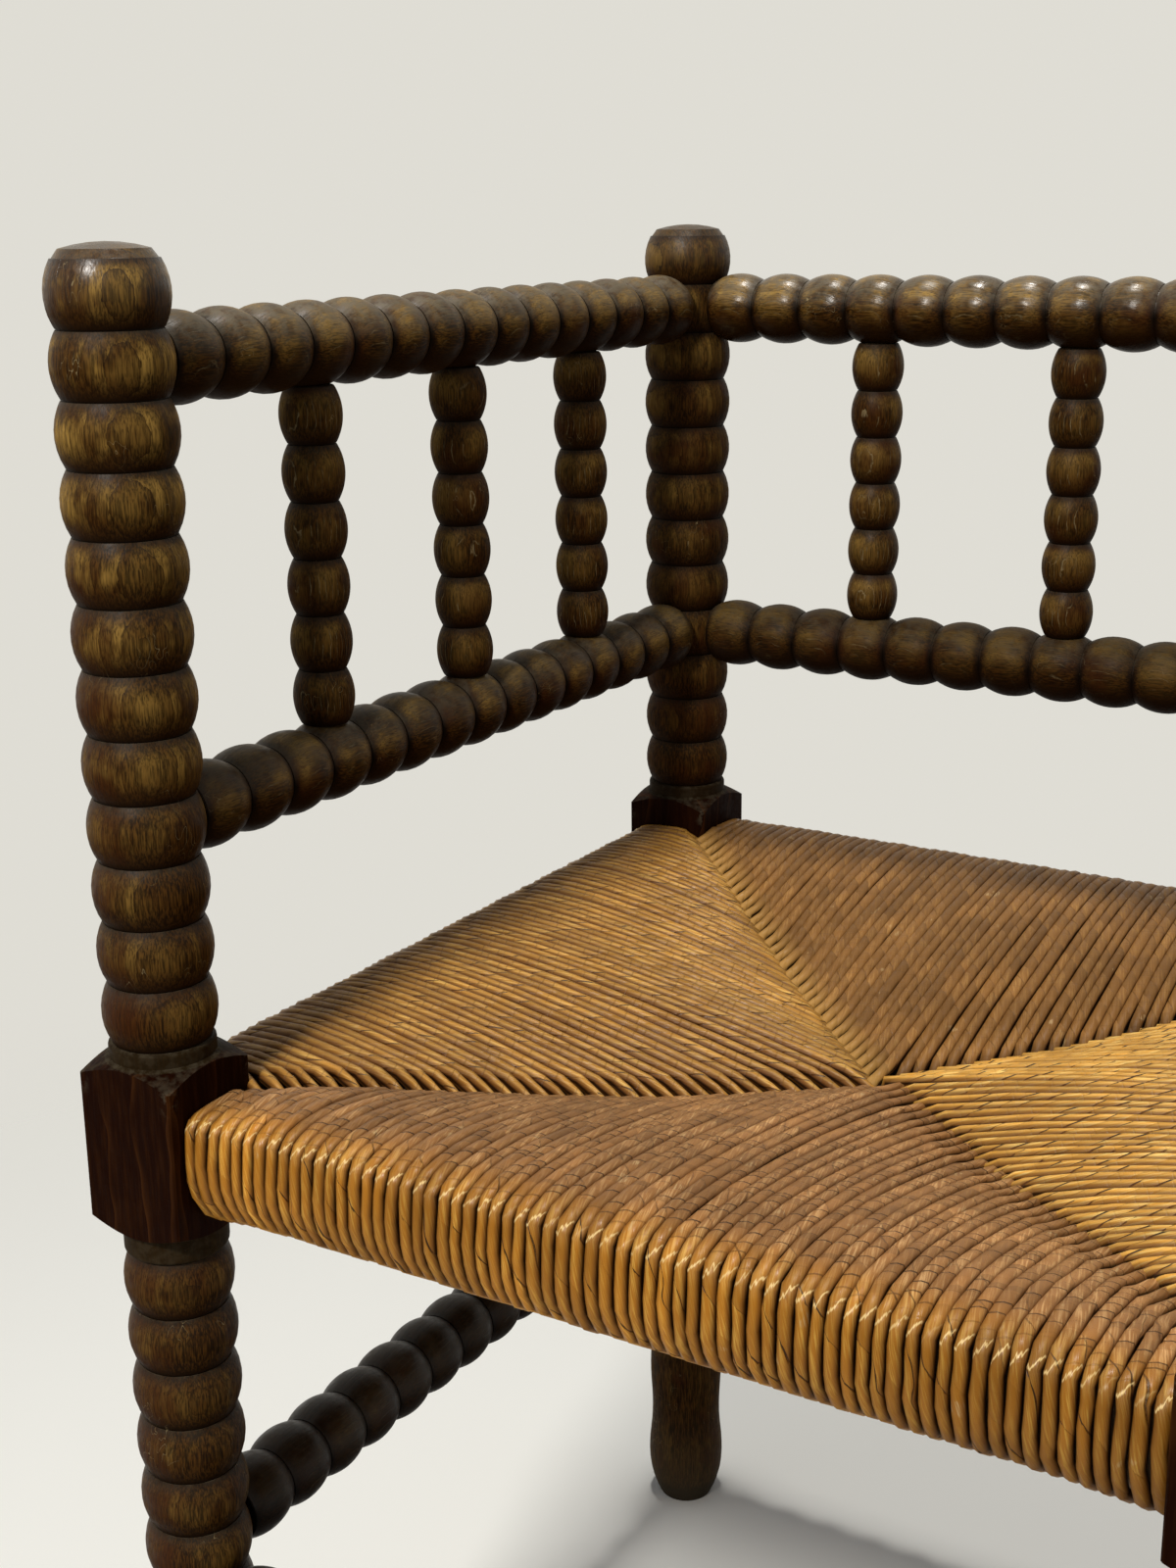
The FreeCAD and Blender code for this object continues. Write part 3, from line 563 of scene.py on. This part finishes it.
# the strand's line for a place along the rail, from its tip in the middle round to its tip
# below: out, up, share of the full width, and how far it leans towards the side's end
def strandLine(place, side):
    toEnd = min(place, sideSpan - place)
    full = min(1.0, (toEnd - firstPlace) / rush["fillingOut"])
    full = fullness[side] * full * full * (3 - 2 * full)
    wrap = [tuple(a + (b - a) * full for a, b in zip(post, middle))
            for post, middle in zip(wrapAtPost, wrapWhenFull)]
    crestOut, crestUp = wrap[0]
    bottomUp = wrap[-1][1]
    low = readTable(valley, toEnd)
    inner = -toEnd
    reach = crestOut - inner

    def topAt(out):
        share = min(1.0, max(0.0, (crestOut - out) / reach))
        return crestUp - (crestUp - low) * share ** rush["doming"]

    past, turn, thin = rush["hooks"][side]
    deep = rush["sunk"][side]
    joined = inner + rush["rejoin"]
    over = place > sideSpan / 2
    if over:      # this end crosses the next panel's strand and hooks down beside it
        top = [(inner - past * share + out, low + up, 1 - narrowing * (1 - thin), turn * hook)
               for share, out, up, narrowing, hook in hookedEnd]
        top.append((joined, topAt(joined) + 0.0010, 1.0, 0.0))
    else:         # this end slips under
        top = [(inner - 0.0085, low - 0.0180, 0.78, 0.0),
               (inner - 0.0040, low - 0.0140, 0.80, 0.0),
               (inner + 0.0020, low - 0.0085 * deep, 0.85, 0.0),
               (inner + 0.0072, topAt(inner + 0.0072) - 0.0036 * deep, 0.93, 0.0),
               (joined, topAt(joined) - 0.0006, 1.0, 0.0)]
    for share in (0.2, 0.42, 0.65, 0.85):
        out = joined + (crestOut - joined) * share
        lift = 0.0010 * (1 - share) ** 3 if over else 0.0
        top.append((out, topAt(out) + lift, 1.0, 0.0))
    beside = rush["sideSpread"] / rush["spread"]
    line = top + [(out, up, 1.0 if number < 4 else beside, 0.0)
                  for number, (out, up) in enumerate(wrap)]
    under = bottomUp + (rush["underCentre"] - bottomUp) * toEnd / (sideSpan / 2)
    line += [(min(inner + 0.004, -0.016), under, 1.0, 0.0),
             (min(inner, -0.020) - 0.003, under + 0.003, 0.8, 0.0)]
    return line


# a cylinder with a ring of corners at each station, its top and bottom closed
def makeStrandPattern(stations):
    bpy.ops.object.select_all(action="DESELECT")
    bpy.ops.mesh.primitive_cylinder_add(vertices=8, radius=1.0, depth=1.0, location=(0, 0, 0.5))
    pattern = bpy.context.object
    bpy.ops.object.mode_set(mode="EDIT")
    bpy.ops.mesh.select_mode(type="EDGE")
    bpy.ops.mesh.select_all(action="DESELECT")
    bpy.ops.object.mode_set(mode="OBJECT")
    for edge in pattern.data.edges:
        ends = [pattern.data.vertices[number].co.z for number in edge.vertices]
        edge.select = abs(ends[0] - ends[1]) > 0.5     # the upright edges
    bpy.ops.object.mode_set(mode="EDIT")
    bpy.ops.mesh.subdivide(number_cuts=stations - 2)
    bpy.ops.object.mode_set(mode="OBJECT")
    bpy.ops.object.transform_apply(location=True, rotation=True, scale=True)
    return pattern


def layStrand(pattern, side, place, ownWidth, dice):
    start, end = (corners[name].to_2d() for name in sides[side])
    alongRail = (end - start).normalized()
    outward = Vector((alongRail.y, -alongRail.x))
    line = strandLine(place, side)
    last = len(line) - 1
    tone = (dice.random(), dice.random(), dice.random())
    half = rush["height"] / 2 * dice.uniform(*rush["fatness"])
    lift = dice.uniform(*rush["lift"])
    sway = [dice.uniform(-1, 1) * rush["wobble"] for _ in line]
    swell = [dice.uniform(*rush["swell"]) for _ in line]
    # distance along the strand
    lengths = [0.0]
    for first, second in zip(line, line[1:]):
        lengths.append(lengths[-1] + math.dist(first[:2], second[:2]))
    tip = rush["tipShade"]["under"]
    if place > sideSpan / 2:
        tip = rush["tipShade"].get(side, rush["tipShade"]["over"])
    mesh = pattern.data.copy()
    for label, kind in (("laid", "FLOAT_VECTOR"), ("tone", "FLOAT_VECTOR"), ("paintedTipShadeAndPale", "FLOAT")):
        mesh.attributes.new(label, kind, "POINT")
    # fetched when all three are there, because a new one moves the others
    laid, tones, paintedTipShadeAndPale = (mesh.attributes[label] for label in ("laid", "tone", "paintedTipShadeAndPale"))
    for vertex in mesh.vertices:
        station = round(vertex.co.z * last)
        around = Vector((vertex.co.x, vertex.co.y))
        if around.length > 0.5:
            around.normalize()
        out, up, width, lean = line[station]
        before, after = line[max(station - 1, 0)], line[min(station + 1, last)]
        run = Vector((after[0] - before[0], after[1] - before[1])).normalized()
        face = Vector((-run.y, run.x))      # away from the rail
        # on top the strands are pressed flat, with square shoulders
        flat = rush["topFlatness"][side] if flatFrom < station < bendPlace else 1.0
        acrossShare = math.copysign(abs(around.x) ** flat, around.x)
        upShare = math.copysign(abs(around.y) ** flat, around.y) * (1 + flat) / 2
        sideways = acrossShare * ownWidth / 2 * rush["spread"] * width * swell[station]
        spot = Vector((out, up + lift)) + face * upShare * half
        onPlan = (start + alongRail * (place + sideways + sway[station] + lean)
                  + outward * spot.x)
        laid.data[vertex.index].vector = (lengths[station] - lengths[bendPlace],
                                          around.x, around.y)
        tones.data[vertex.index].vector = tone
        # painted shade at the strand's tip; a value below nought makes it pale
        if station < len(tip):
            paintedTipShadeAndPale.data[vertex.index].value = tip[station] * rush["sunk"][side]
        vertex.co = (onPlan.x, onPlan.y, seatLevel + spot.y)
    strand = bpy.data.objects.new(f"{side}_strand", mesh)
    bpy.context.collection.objects.link(strand)
    return strand


def weavePanel(side, seed):
    dice = random.Random(seed)
    pattern = makeStrandPattern(len(strandLine(sideSpan / 2, side)))
    widths = [1 + dice.uniform(-1, 1) * rush["unevenness"] for _ in range(rush["strands"])]
    scale = strandPitch * rush["strands"] / sum(widths)
    widths = [width * scale for width in widths]
    strands = [layStrand(pattern, side, firstPlace + sum(widths[:number]) + width / 2, width, dice)
               for number, width in enumerate(widths)]
    bpy.data.objects.remove(pattern)
    bpy.ops.object.select_all(action="DESELECT")
    for strand in strands:
        strand.select_set(True)
    bpy.context.view_layer.objects.active = strands[0]
    bpy.ops.object.join()
    panel = bpy.context.object
    panel.name = "rush_" + side
    bpy.ops.object.mode_set(mode="EDIT")
    bpy.ops.mesh.select_all(action="SELECT")
    bpy.ops.mesh.normals_make_consistent(inside=False)
    bpy.ops.object.mode_set(mode="OBJECT")
    bpy.ops.object.shade_smooth()
    return panel


# how each panel's strands look: colours on top and on the outer side, how long a turn of the
# twist is and how many leaves it has, how much cracks, painted flank shade and gloss show
# the tops' colours are partly the rush's own and partly painted light: the front-right and
# back-left tops are painted brighter, the front-left and back-right duller, as the lamps' glints
# fall on them
rushLooks = {
    "front_left": {
        "top": (0.268, 0.122, 0.037), "pale": (0.560, 0.340, 0.150),
        "side": (0.412, 0.163, 0.0140), "sidePale": (0.720, 0.420, 0.080),
        "turnLength": 0.026, "leaves": 1, "leafContrast": 0.12,
        "topCracks": 0.35, "crackWidth": 0.06, "sideCracks": 0.95, "crossCracks": 0.90,
        "gloss": 0.46, "flankFrom": 0.48, "flankShade": 0.62, "shine": 0.16,
        # painted shade on the side, darker towards the front leg, and the top lighter towards the
        # front leg, between these places along x
        "toneAlongX": (-0.14, -0.04), "paintedSideShade": (1.12, 0.66), "topToneAlongX": (1.0, 1.26)},
    "front_right": {
        "top": (0.650, 0.322, 0.050), "pale": (0.915, 0.700, 0.245),
        "side": (0.400, 0.160, 0.014), "sidePale": (0.720, 0.420, 0.080),
        "turnLength": 0.030, "leaves": 3, "leafContrast": 0.14,
        "topCracks": 1.0, "crackWidth": 0.20, "sideCracks": 0.95, "crossCracks": 0.10,
        "gloss": 0.36, "flankFrom": 0.20, "flankShade": 0.90, "shine": 0.28},
    "back_right": {
        "top": (0.226, 0.104, 0.027), "pale": (0.365, 0.198, 0.062),
        "side": (0.340, 0.148, 0.020), "sidePale": (0.540, 0.310, 0.065),
        "turnLength": 0.022, "leaves": 2, "leafContrast": 0.16,
        "topCracks": 0.30, "crackWidth": 0.10, "sideCracks": 0.80, "crossCracks": 0.12,
        "gloss": 0.46, "flankFrom": 0.62, "flankShade": 0.50, "shine": 0.16},
    "back_left": {
        "top": (0.425, 0.200, 0.032), "pale": (0.800, 0.510, 0.140),
        "side": (0.340, 0.148, 0.020), "sidePale": (0.540, 0.310, 0.065),
        "turnLength": 0.028, "leaves": 2, "leafContrast": 0.12,
        "topCracks": 0.85, "crackWidth": 0.14, "sideCracks": 0.80, "crossCracks": 0.25,
        "gloss": 0.38, "flankFrom": 0.20, "flankShade": 1.0, "shine": 0.22},
}
rushDetail = {
    "topToSide": (-0.022, 0.003),            # the colour changes between these, from the bend
    "fold": (-0.0110, -0.0035, -0.0015, 0.0060),
    "crackSpacing": 0.0062,                  # places for cross cracks along a strand
    "crackDark": (0.010, 0.004, 0.0012),
    "gapShadeColour": (0.016, 0.006, 0.0015),
    "flankShadeColour": (0.110, 0.036, 0.0060),     # painted shade on the strands' flanks, darker and browner than their crests
    "sideFlank": (0.22, 0.80),               # where the painted flank shade begins at the side, and how dark it gets
    # the fold, worn pale and painted with sheen
    "foldWearAndSheen": (0.540, 0.310, 0.075),
    "tipPale": (0.520, 0.290, 0.075),
    "creaseHighlight": (0.900, 0.660, 0.290),         # painted highlight: a thin bright line along the fold
    "creasePlace": 0.0012,
    "creaseWidth": (0.0001, 0.0007),
    "creaseSlant": 0.0030,
    "creaseJag": 0.0052,
    "frayed": (0.560, 0.390, 0.190),
    "bump": (0.7, 0.0006),
}
# how far apart the strands' random numbers set their patterns
strandShift = {"twist": 7.0, "leaf": 91.0, "slow": 40.0, "streak": 30.0, "crack": 57.0,
               "cell": 133.0}


# what the rush's colours are mixed from
def readStrand(tree, look):
    along, across, outwards = splitVector(tree, readAttribute(tree, "laid"))
    firstTone, secondTone, thirdTone = splitVector(tree, readAttribute(tree, "tone"))
    angle = sums(tree, "DIVIDE", sums(tree, "ARCTAN2", across, outwards), 2 * math.pi)
    turns = sums(tree, "DIVIDE", along, look["turnLength"])
    twist = times(tree, sums(tree, "SUBTRACT", turns, angle), float(look["leaves"]))
    twist = sums(tree, "ADD", twist, times(tree, firstTone, strandShift["twist"]))
    # uneven leaves: noise shifts the edges between one leaf and the next
    slow = joinVector(tree, turns, times(tree, secondTone, strandShift["slow"]))
    shifted = sums(tree, "MULTIPLY_ADD", noise(tree, slow, 0.9, 1.0), 1.4, twist)
    leaf = sums(tree, "ADD", sums(tree, "FLOOR", shifted),
                times(tree, thirdTone, strandShift["leaf"]))
    # fine streaks run nearly along the strand
    slanting = sums(tree, "MULTIPLY_ADD", turns, 0.4, times(tree, angle, -1.0))
    streakPlace = joinVector(tree, times(tree, slanting, 26.0), times(tree, turns, 2.2),
                             times(tree, secondTone, strandShift["streak"]))
    foldStart, foldFull, foldFade, foldEnd = rushDetail["fold"]
    return {
        "along": along, "across": across, "aside": sums(tree, "ABSOLUTE", across),
        "tones": (firstTone, secondTone, thirdTone),
        "band": sums(tree, "FRACT", shifted), "leaf": toneOf(tree, leaf),
        "streakPlace": streakPlace, "streak": noise(tree, streakPlace, 1.0, 2.0, 0.6),
        "onTop": fromTo(tree, along, *rushDetail["topToSide"], 1.0, 0.0),
        "bend": times(tree, fromTo(tree, along, foldStart, foldFull),
                      fromTo(tree, along, foldFade, foldEnd, 1.0, 0.0)),
    }


def rushColour(tree, strand, look):
    onTop, streak = strand["onTop"], strand["streak"]
    colour = mixColours(tree, onTop, look["side"], look["top"])
    paleShare = times(tree, fromTo(tree, streak, 0.42, 0.74),
                      fromTo(tree, strand["leaf"], 0.0, 1.0, 0.25, 0.8))
    pale = mixColours(tree, onTop, look["sidePale"], look["pale"])
    colour = mixColours(tree, paleShare, colour, pale)
    # the fold is paler: worn, and painted with sheen
    foldWearAndSheenShare = times(tree, strand["bend"], fromTo(tree, streak, 0.35, 0.65, 0.0, 0.24))
    return mixColours(tree, foldWearAndSheenShare, colour, rushDetail["foldWearAndSheen"])


# slanting dark edges where one leaf goes over the next, and cracks across the strand
def rushCracks(tree, strand, look):
    onTop, across = strand["onTop"], strand["across"]
    firstTone, _, thirdTone = strand["tones"]
    thin = fromTo(tree, noise(tree, strand["streakPlace"], 0.35, 1.0), 0.38, 0.60, 0.015,
                  look["crackWidth"])
    slant = times(tree, fromTo(tree, strand["band"], times(tree, thin, 0.5), thin, 1.0, 0.0),
                  fromTo(tree, strand["leaf"], 0.40, 0.50))
    steps = sums(tree, "ADD", sums(tree, "DIVIDE", strand["along"], rushDetail["crackSpacing"]),
                 times(tree, firstTone, strandShift["crack"]))
    cell = sums(tree, "ADD", sums(tree, "FLOOR", steps),
                times(tree, thirdTone, strandShift["cell"]))
    chance = toneOf(tree, cell)
    bowed = sums(tree, "MULTIPLY_ADD", times(tree, across, across), 0.07,
                 fromTo(tree, chance, 0.0, 1.0, 0.2, 0.8, smooth=False))
    bowed = sums(tree, "MULTIPLY_ADD", across, -0.14, bowed)
    inStep = sums(tree, "FRACT", steps)
    offCrack = sums(tree, "ABSOLUTE", sums(tree, "SUBTRACT", inStep, bowed))
    chosen = fromTo(tree, sums(tree, "FRACT", times(tree, chance, 7.31)), 0.30, 0.62)
    crossing = times(tree, fromTo(tree, offCrack, 0.022, 0.082, 1.0, 0.0), chosen, onTop)
    slantShare = fromTo(tree, onTop, 0.0, 1.0, look["sideCracks"], look["topCracks"])
    cracks = sums(tree, "MAXIMUM", times(tree, slant, slantShare),
                  times(tree, crossing, look["crossCracks"]))
    # the piece of leaf between two cracks has its own tone, and lifts towards its end
    segment = toneOf(tree, sums(tree, "ADD", cell, sums(tree, "GREATER_THAN", inStep, bowed)))
    segmentShade = fromTo(tree, segment, 0.0, 1.0, 1.0 - 0.22 * look["crossCracks"],
                          1.0 + 0.20 * look["crossCracks"], smooth=False)
    rise = times(tree, sums(tree, "FRACT", sums(tree, "SUBTRACT", steps, bowed)), onTop)
    return cracks, segmentShade, rise


def rushShade(tree, strand, look, segmentShade):
    contrast = look["leafContrast"]
    patch = noise(tree, objectPlace(tree), 30.0, 3.0)
    shade = times(tree,
                  fromTo(tree, strand["leaf"], 0.0, 1.0, 1.0 - contrast, 1.0 + contrast,
                         smooth=False),
                  fromTo(tree, patch, 0.3, 0.7, 0.84, 1.10),
                  fromTo(tree, strand["tones"][1], 0.0, 1.0, 0.84, 1.12, smooth=False),
                  mixNumbers(tree, strand["onTop"], 1.0, segmentShade))
    # painted shade along the outer side, darker towards the front leg; the top lighter there
    if "toneAlongX" in look:
        worldX = splitVector(tree, objectPlace(tree))[0]
        paintedSideShade = fromTo(tree, worldX, *look["toneAlongX"], *look["paintedSideShade"])
        topToneAlongX = fromTo(tree, worldX, *look["toneAlongX"], *look["topToneAlongX"])
        shade = times(tree, shade, mixNumbers(tree, strand["onTop"], paintedSideShade, topToneAlongX))
    return grey(tree, shade)


# painted highlight: the fold's thin bright line runs aslant over each strand
def paintCreaseHighlight(tree, strand):
    across, tones = strand["across"], strand["tones"]
    jag = noise(tree, joinVector(tree, times(tree, across, 1.6),
                                 times(tree, tones[1], strandShift["slow"])), 2.2, 3.0)
    place = sums(tree, "MULTIPLY_ADD", across, rushDetail["creaseSlant"], strand["along"])
    place = sums(tree, "MULTIPLY_ADD", jag, rushDetail["creaseJag"], place)
    off = sums(tree, "ABSOLUTE", sums(tree, "SUBTRACT", place, rushDetail["creasePlace"]))
    return times(tree, fromTo(tree, off, *rushDetail["creaseWidth"], 1.0, 0.0),
                 fromTo(tree, tones[2], 0.15, 0.45, 0.15, 0.85),
                 fromTo(tree, strand["aside"], 0.55, 0.90, 1.0, 0.0))


def makeRush(name, look):
    material, tree, shader = newMaterial("rush_" + name)
    strand = readStrand(tree, look)
    onTop, streak, aside = strand["onTop"], strand["streak"], strand["aside"]
    cracks, segmentShade, rise = rushCracks(tree, strand, look)
    colour = rushColour(tree, strand, look)
    colour = mixColours(tree, 1.0, colour, rushShade(tree, strand, look, segmentShade),
                        "MULTIPLY")
    colour = mixColours(tree, cracks, colour, rushDetail["crackDark"])
    # pale frayed patches, here and there
    fray = times(tree, fromTo(tree, noise(tree, objectPlace(tree), 85.0, 2.0), 0.68, 0.73),
                 fromTo(tree, streak, 0.45, 0.60, 0.0, 0.60))
    colour = mixColours(tree, fray, colour, rushDetail["frayed"])
    # painted shade: flanks darker and browner than the crests, and darkest between two strands
    sideFrom, sideDark = rushDetail["sideFlank"]
    flankShade = fromTo(tree, aside, fromTo(tree, onTop, 0.0, 1.0, sideFrom, look["flankFrom"]), 0.98,
                   0.0, fromTo(tree, onTop, 0.0, 1.0, sideDark, look["flankShade"]))
    colour = mixColours(tree, flankShade, colour, rushDetail["flankShadeColour"])
    colour = mixColours(tree, paintCreaseHighlight(tree, strand), colour, rushDetail["creaseHighlight"])
    # painted shade in the gap between two strands
    paintedGapShade = fromTo(tree, aside, fromTo(tree, onTop, 0.0, 1.0, 0.72, 0.84), 0.98)
    # painted shade at the strands' tips, and a pale tip where the value is below nought
    paintedTipShadeAndPale = readAttribute(tree, "paintedTipShadeAndPale", "Fac")
    colour = mixColours(tree, fromTo(tree, paintedTipShadeAndPale, -1.0, 0.0, 0.75, 0.0, smooth=False), colour,
                        rushDetail["tipPale"])
    colour = mixColours(tree, sums(tree, "MAXIMUM", times(tree, paintedGapShade, 0.96), paintedTipShadeAndPale), colour,
                        rushDetail["gapShadeColour"])
    tree.links.new(colour, shader.inputs["Base Color"])
    roughness = fromTo(tree, streak, 0.3, 0.7, look["gloss"] - 0.08, look["gloss"] + 0.12)
    roughness = sums(tree, "MULTIPLY_ADD", strand["bend"], -0.10, roughness)
    tree.links.new(roughness, shader.inputs["Roughness"])
    sheen = fromTo(tree, strand["bend"], 0.0, 1.0, look["shine"], 0.30)
    tree.links.new(sheen, shader.inputs["Specular IOR Level"])
    # each leaf swells between its edges
    band = strand["band"]
    height = times(tree, band, sums(tree, "SUBTRACT", 1.0, band), 3.0)
    height = sums(tree, "MULTIPLY_ADD", streak, 0.5, height)
    height = sums(tree, "MULTIPLY_ADD", rise, 0.9 * look["crossCracks"], height)
    height = sums(tree, "MULTIPLY_ADD", cracks, -1.3, height)
    addBump(tree, shader, height, *rushDetail["bump"])
    return material


firstSeed = 11
for number, side in enumerate(sides):
    panel = weavePanel(side, firstSeed + number)
    panel.data.materials.clear()
    panel.data.materials.append(makeRush(side, rushLooks[side]))
    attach(panel, "root")
    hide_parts("rush_seat")
    print(panel.name, len(panel.data.polygons), "faces")


# the stuffing that keeps the strands up, coloured near black as painted shade, seen only as dark
# between them
stuffing = {
    "drop": 0.0062,          # how far its top lies under the strands' line
    "inset": 0.030,          # and its edge inside the rails' axes
    "thickness": 0.004,
    "dark": (0.012, 0.007, 0.003),
    "pale": (0.05, 0.028, 0.012),
    "roughness": 0.9,
}


def makeStuffing():
    bpy.ops.object.select_all(action="DESELECT")
    topUp = seatLevel + wrapAtPost[0][1] - stuffing["drop"]
    bpy.ops.mesh.primitive_plane_add(size=sideSpan - 2 * stuffing["inset"],
                                     location=(0, 0, topUp - stuffing["thickness"]))
    piece = bpy.context.object
    piece.name = "rush_stuffing"
    bpy.ops.object.mode_set(mode="EDIT")
    bpy.ops.mesh.select_all(action="SELECT")
    bpy.ops.transform.rotate(value=math.radians(45), orient_axis="Z", center_override=(0, 0, 0))
    bpy.ops.mesh.poke()
    bpy.ops.mesh.select_all(action="DESELECT")
    bpy.ops.object.mode_set(mode="OBJECT")
    # its middle sinks with the seat
    for vertex in piece.data.vertices:
        if vertex.co.to_2d().length < 0.01:
            vertex.co.z = valley[-1][1] - stuffing["drop"] + seatLevel - piece.location.z
    bpy.ops.object.mode_set(mode="EDIT")
    bpy.ops.mesh.select_all(action="SELECT")
    bpy.ops.mesh.extrude_region_move(
        TRANSFORM_OT_translate={"value": (0, 0, -stuffing["thickness"])})
    bpy.ops.mesh.select_all(action="SELECT")
    bpy.ops.mesh.normals_make_consistent(inside=False)
    bpy.ops.object.mode_set(mode="OBJECT")
    bpy.ops.object.transform_apply(location=True, rotation=True, scale=True)
    return piece


def makeStuffingLook():
    material, tree, shader = newMaterial("rush_stuffing_shade")
    colour = mixColours(tree, noise(tree, objectPlace(tree), 300.0, 3.0), stuffing["dark"],
                        stuffing["pale"])
    tree.links.new(colour, shader.inputs["Base Color"])
    shader.inputs["Roughness"].default_value = stuffing["roughness"]
    return material


stuffingPiece = makeStuffing()
stuffingPiece.data.materials.append(makeStuffingLook())
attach(stuffingPiece, "root")
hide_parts("rush_seat")
print("rush done")

# ---- camera, where the photograph was taken ----
cameraSetup = {
    "place": (-0.3117, -0.7615, 0.7703),
    "turn": 0.2347,       # to the right of +Y, in radians
    "down": 0.2761,
    "roll": -0.0122,
    "focalShare": 2081.8 / 1600,   # focal length against the picture's height
    "clipStart": 0.05,
}
aim = (Matrix.Rotation(-cameraSetup["turn"], 3, "Z")
       @ Matrix.Rotation(math.radians(90) - cameraSetup["down"], 3, "X")
       @ Matrix.Rotation(cameraSetup["roll"], 3, "Z"))
bpy.ops.object.camera_add(location=cameraSetup["place"], rotation=aim.to_euler())
camera = bpy.context.object
camera.data.lens = camera.data.sensor_width * cameraSetup["focalShare"]
camera.data.clip_start = cameraSetup["clipStart"]
bpy.context.scene.camera = camera

# ---- floor, background and lamps ----
stage = {
    "floorRadius": 6.0,
    "floorColour": (0.92, 0.935, 0.905),
    "floorRoughness": 0.9,
    "fade": (0.55, 1.30),    # the floor melts into the background between these distances
    "wallColour": (0.740, 0.722, 0.662),     # what the camera sees behind the chair
    "fillLight": (0.20, 0.20, 0.205),
}


def makeFloor():
    bpy.ops.mesh.primitive_circle_add(vertices=96, radius=stage["floorRadius"],
                                      fill_type="NGON", location=(0, 0, 0))
    floor = bpy.context.object
    floor.name = "floor"
    material, tree, shader = newMaterial("floor_paint")
    away = vectorLength(tree, objectPlace(tree))
    shader.inputs["Base Color"].default_value = stage["floorColour"] + (1.0,)
    shader.inputs["Roughness"].default_value = stage["floorRoughness"]
    clear = addNode(tree, "ShaderNodeBsdfTransparent").outputs[0]
    mixed = addNode(tree, "ShaderNodeMixShader", {
        0: fromTo(tree, away, *stage["fade"]), 1: shader.outputs[0], 2: clear})
    tree.links.new(mixed.outputs[0], tree.nodes["Material Output"].inputs["Surface"])
    floor.data.materials.append(material)


def makeWorld():
    world = bpy.data.worlds.new("pale_room")
    bpy.context.scene.world = world
    world.use_nodes = True
    tree = world.node_tree
    tree.nodes.clear()
    # the camera and mirror rays see the wall, all other rays the fill light
    rays = addNode(tree, "ShaderNodeLightPath").outputs
    seen = sums(tree, "MAXIMUM", rays["Is Camera Ray"], rays["Is Transmission Ray"])
    seen = sums(tree, "MAXIMUM", seen, rays["Is Glossy Ray"])
    colour = mixColours(tree, seen, stage["fillLight"], stage["wallColour"])
    light = addNode(tree, "ShaderNodeBackground", {0: colour, 1: 1.0})
    addNode(tree, "ShaderNodeOutputWorld", {0: light.outputs[0]})


lampTarget = Vector((0, 0, 0.42))
lamps = {
    "above": {"place": (0.0, 0.385, 2.80), "size": 0.22, "power": 33.0,
              "colour": (1.0, 0.96, 0.90)},
    "front": {"place": (-1.43, -1.37, 2.09), "size": 0.32, "power": 40.0,
              "colour": (1.0, 0.96, 0.90)},
}


def makeLamp(name, setup):
    place = Vector(setup["place"])
    turn = (lampTarget - place).to_track_quat("-Z", "Y").to_euler()
    bpy.ops.object.light_add(type="AREA", location=place, rotation=turn)
    lamp = bpy.context.object
    lamp.name = "lamp_" + name
    lamp.data.shape = "DISK"
    lamp.data.size = setup["size"]
    lamp.data.energy = setup["power"]
    lamp.data.color = setup["colour"]


makeFloor()
makeWorld()
for name, setup in lamps.items():
    makeLamp(name, setup)
bpy.context.scene.view_settings.view_transform = "Standard"
print("stage done")
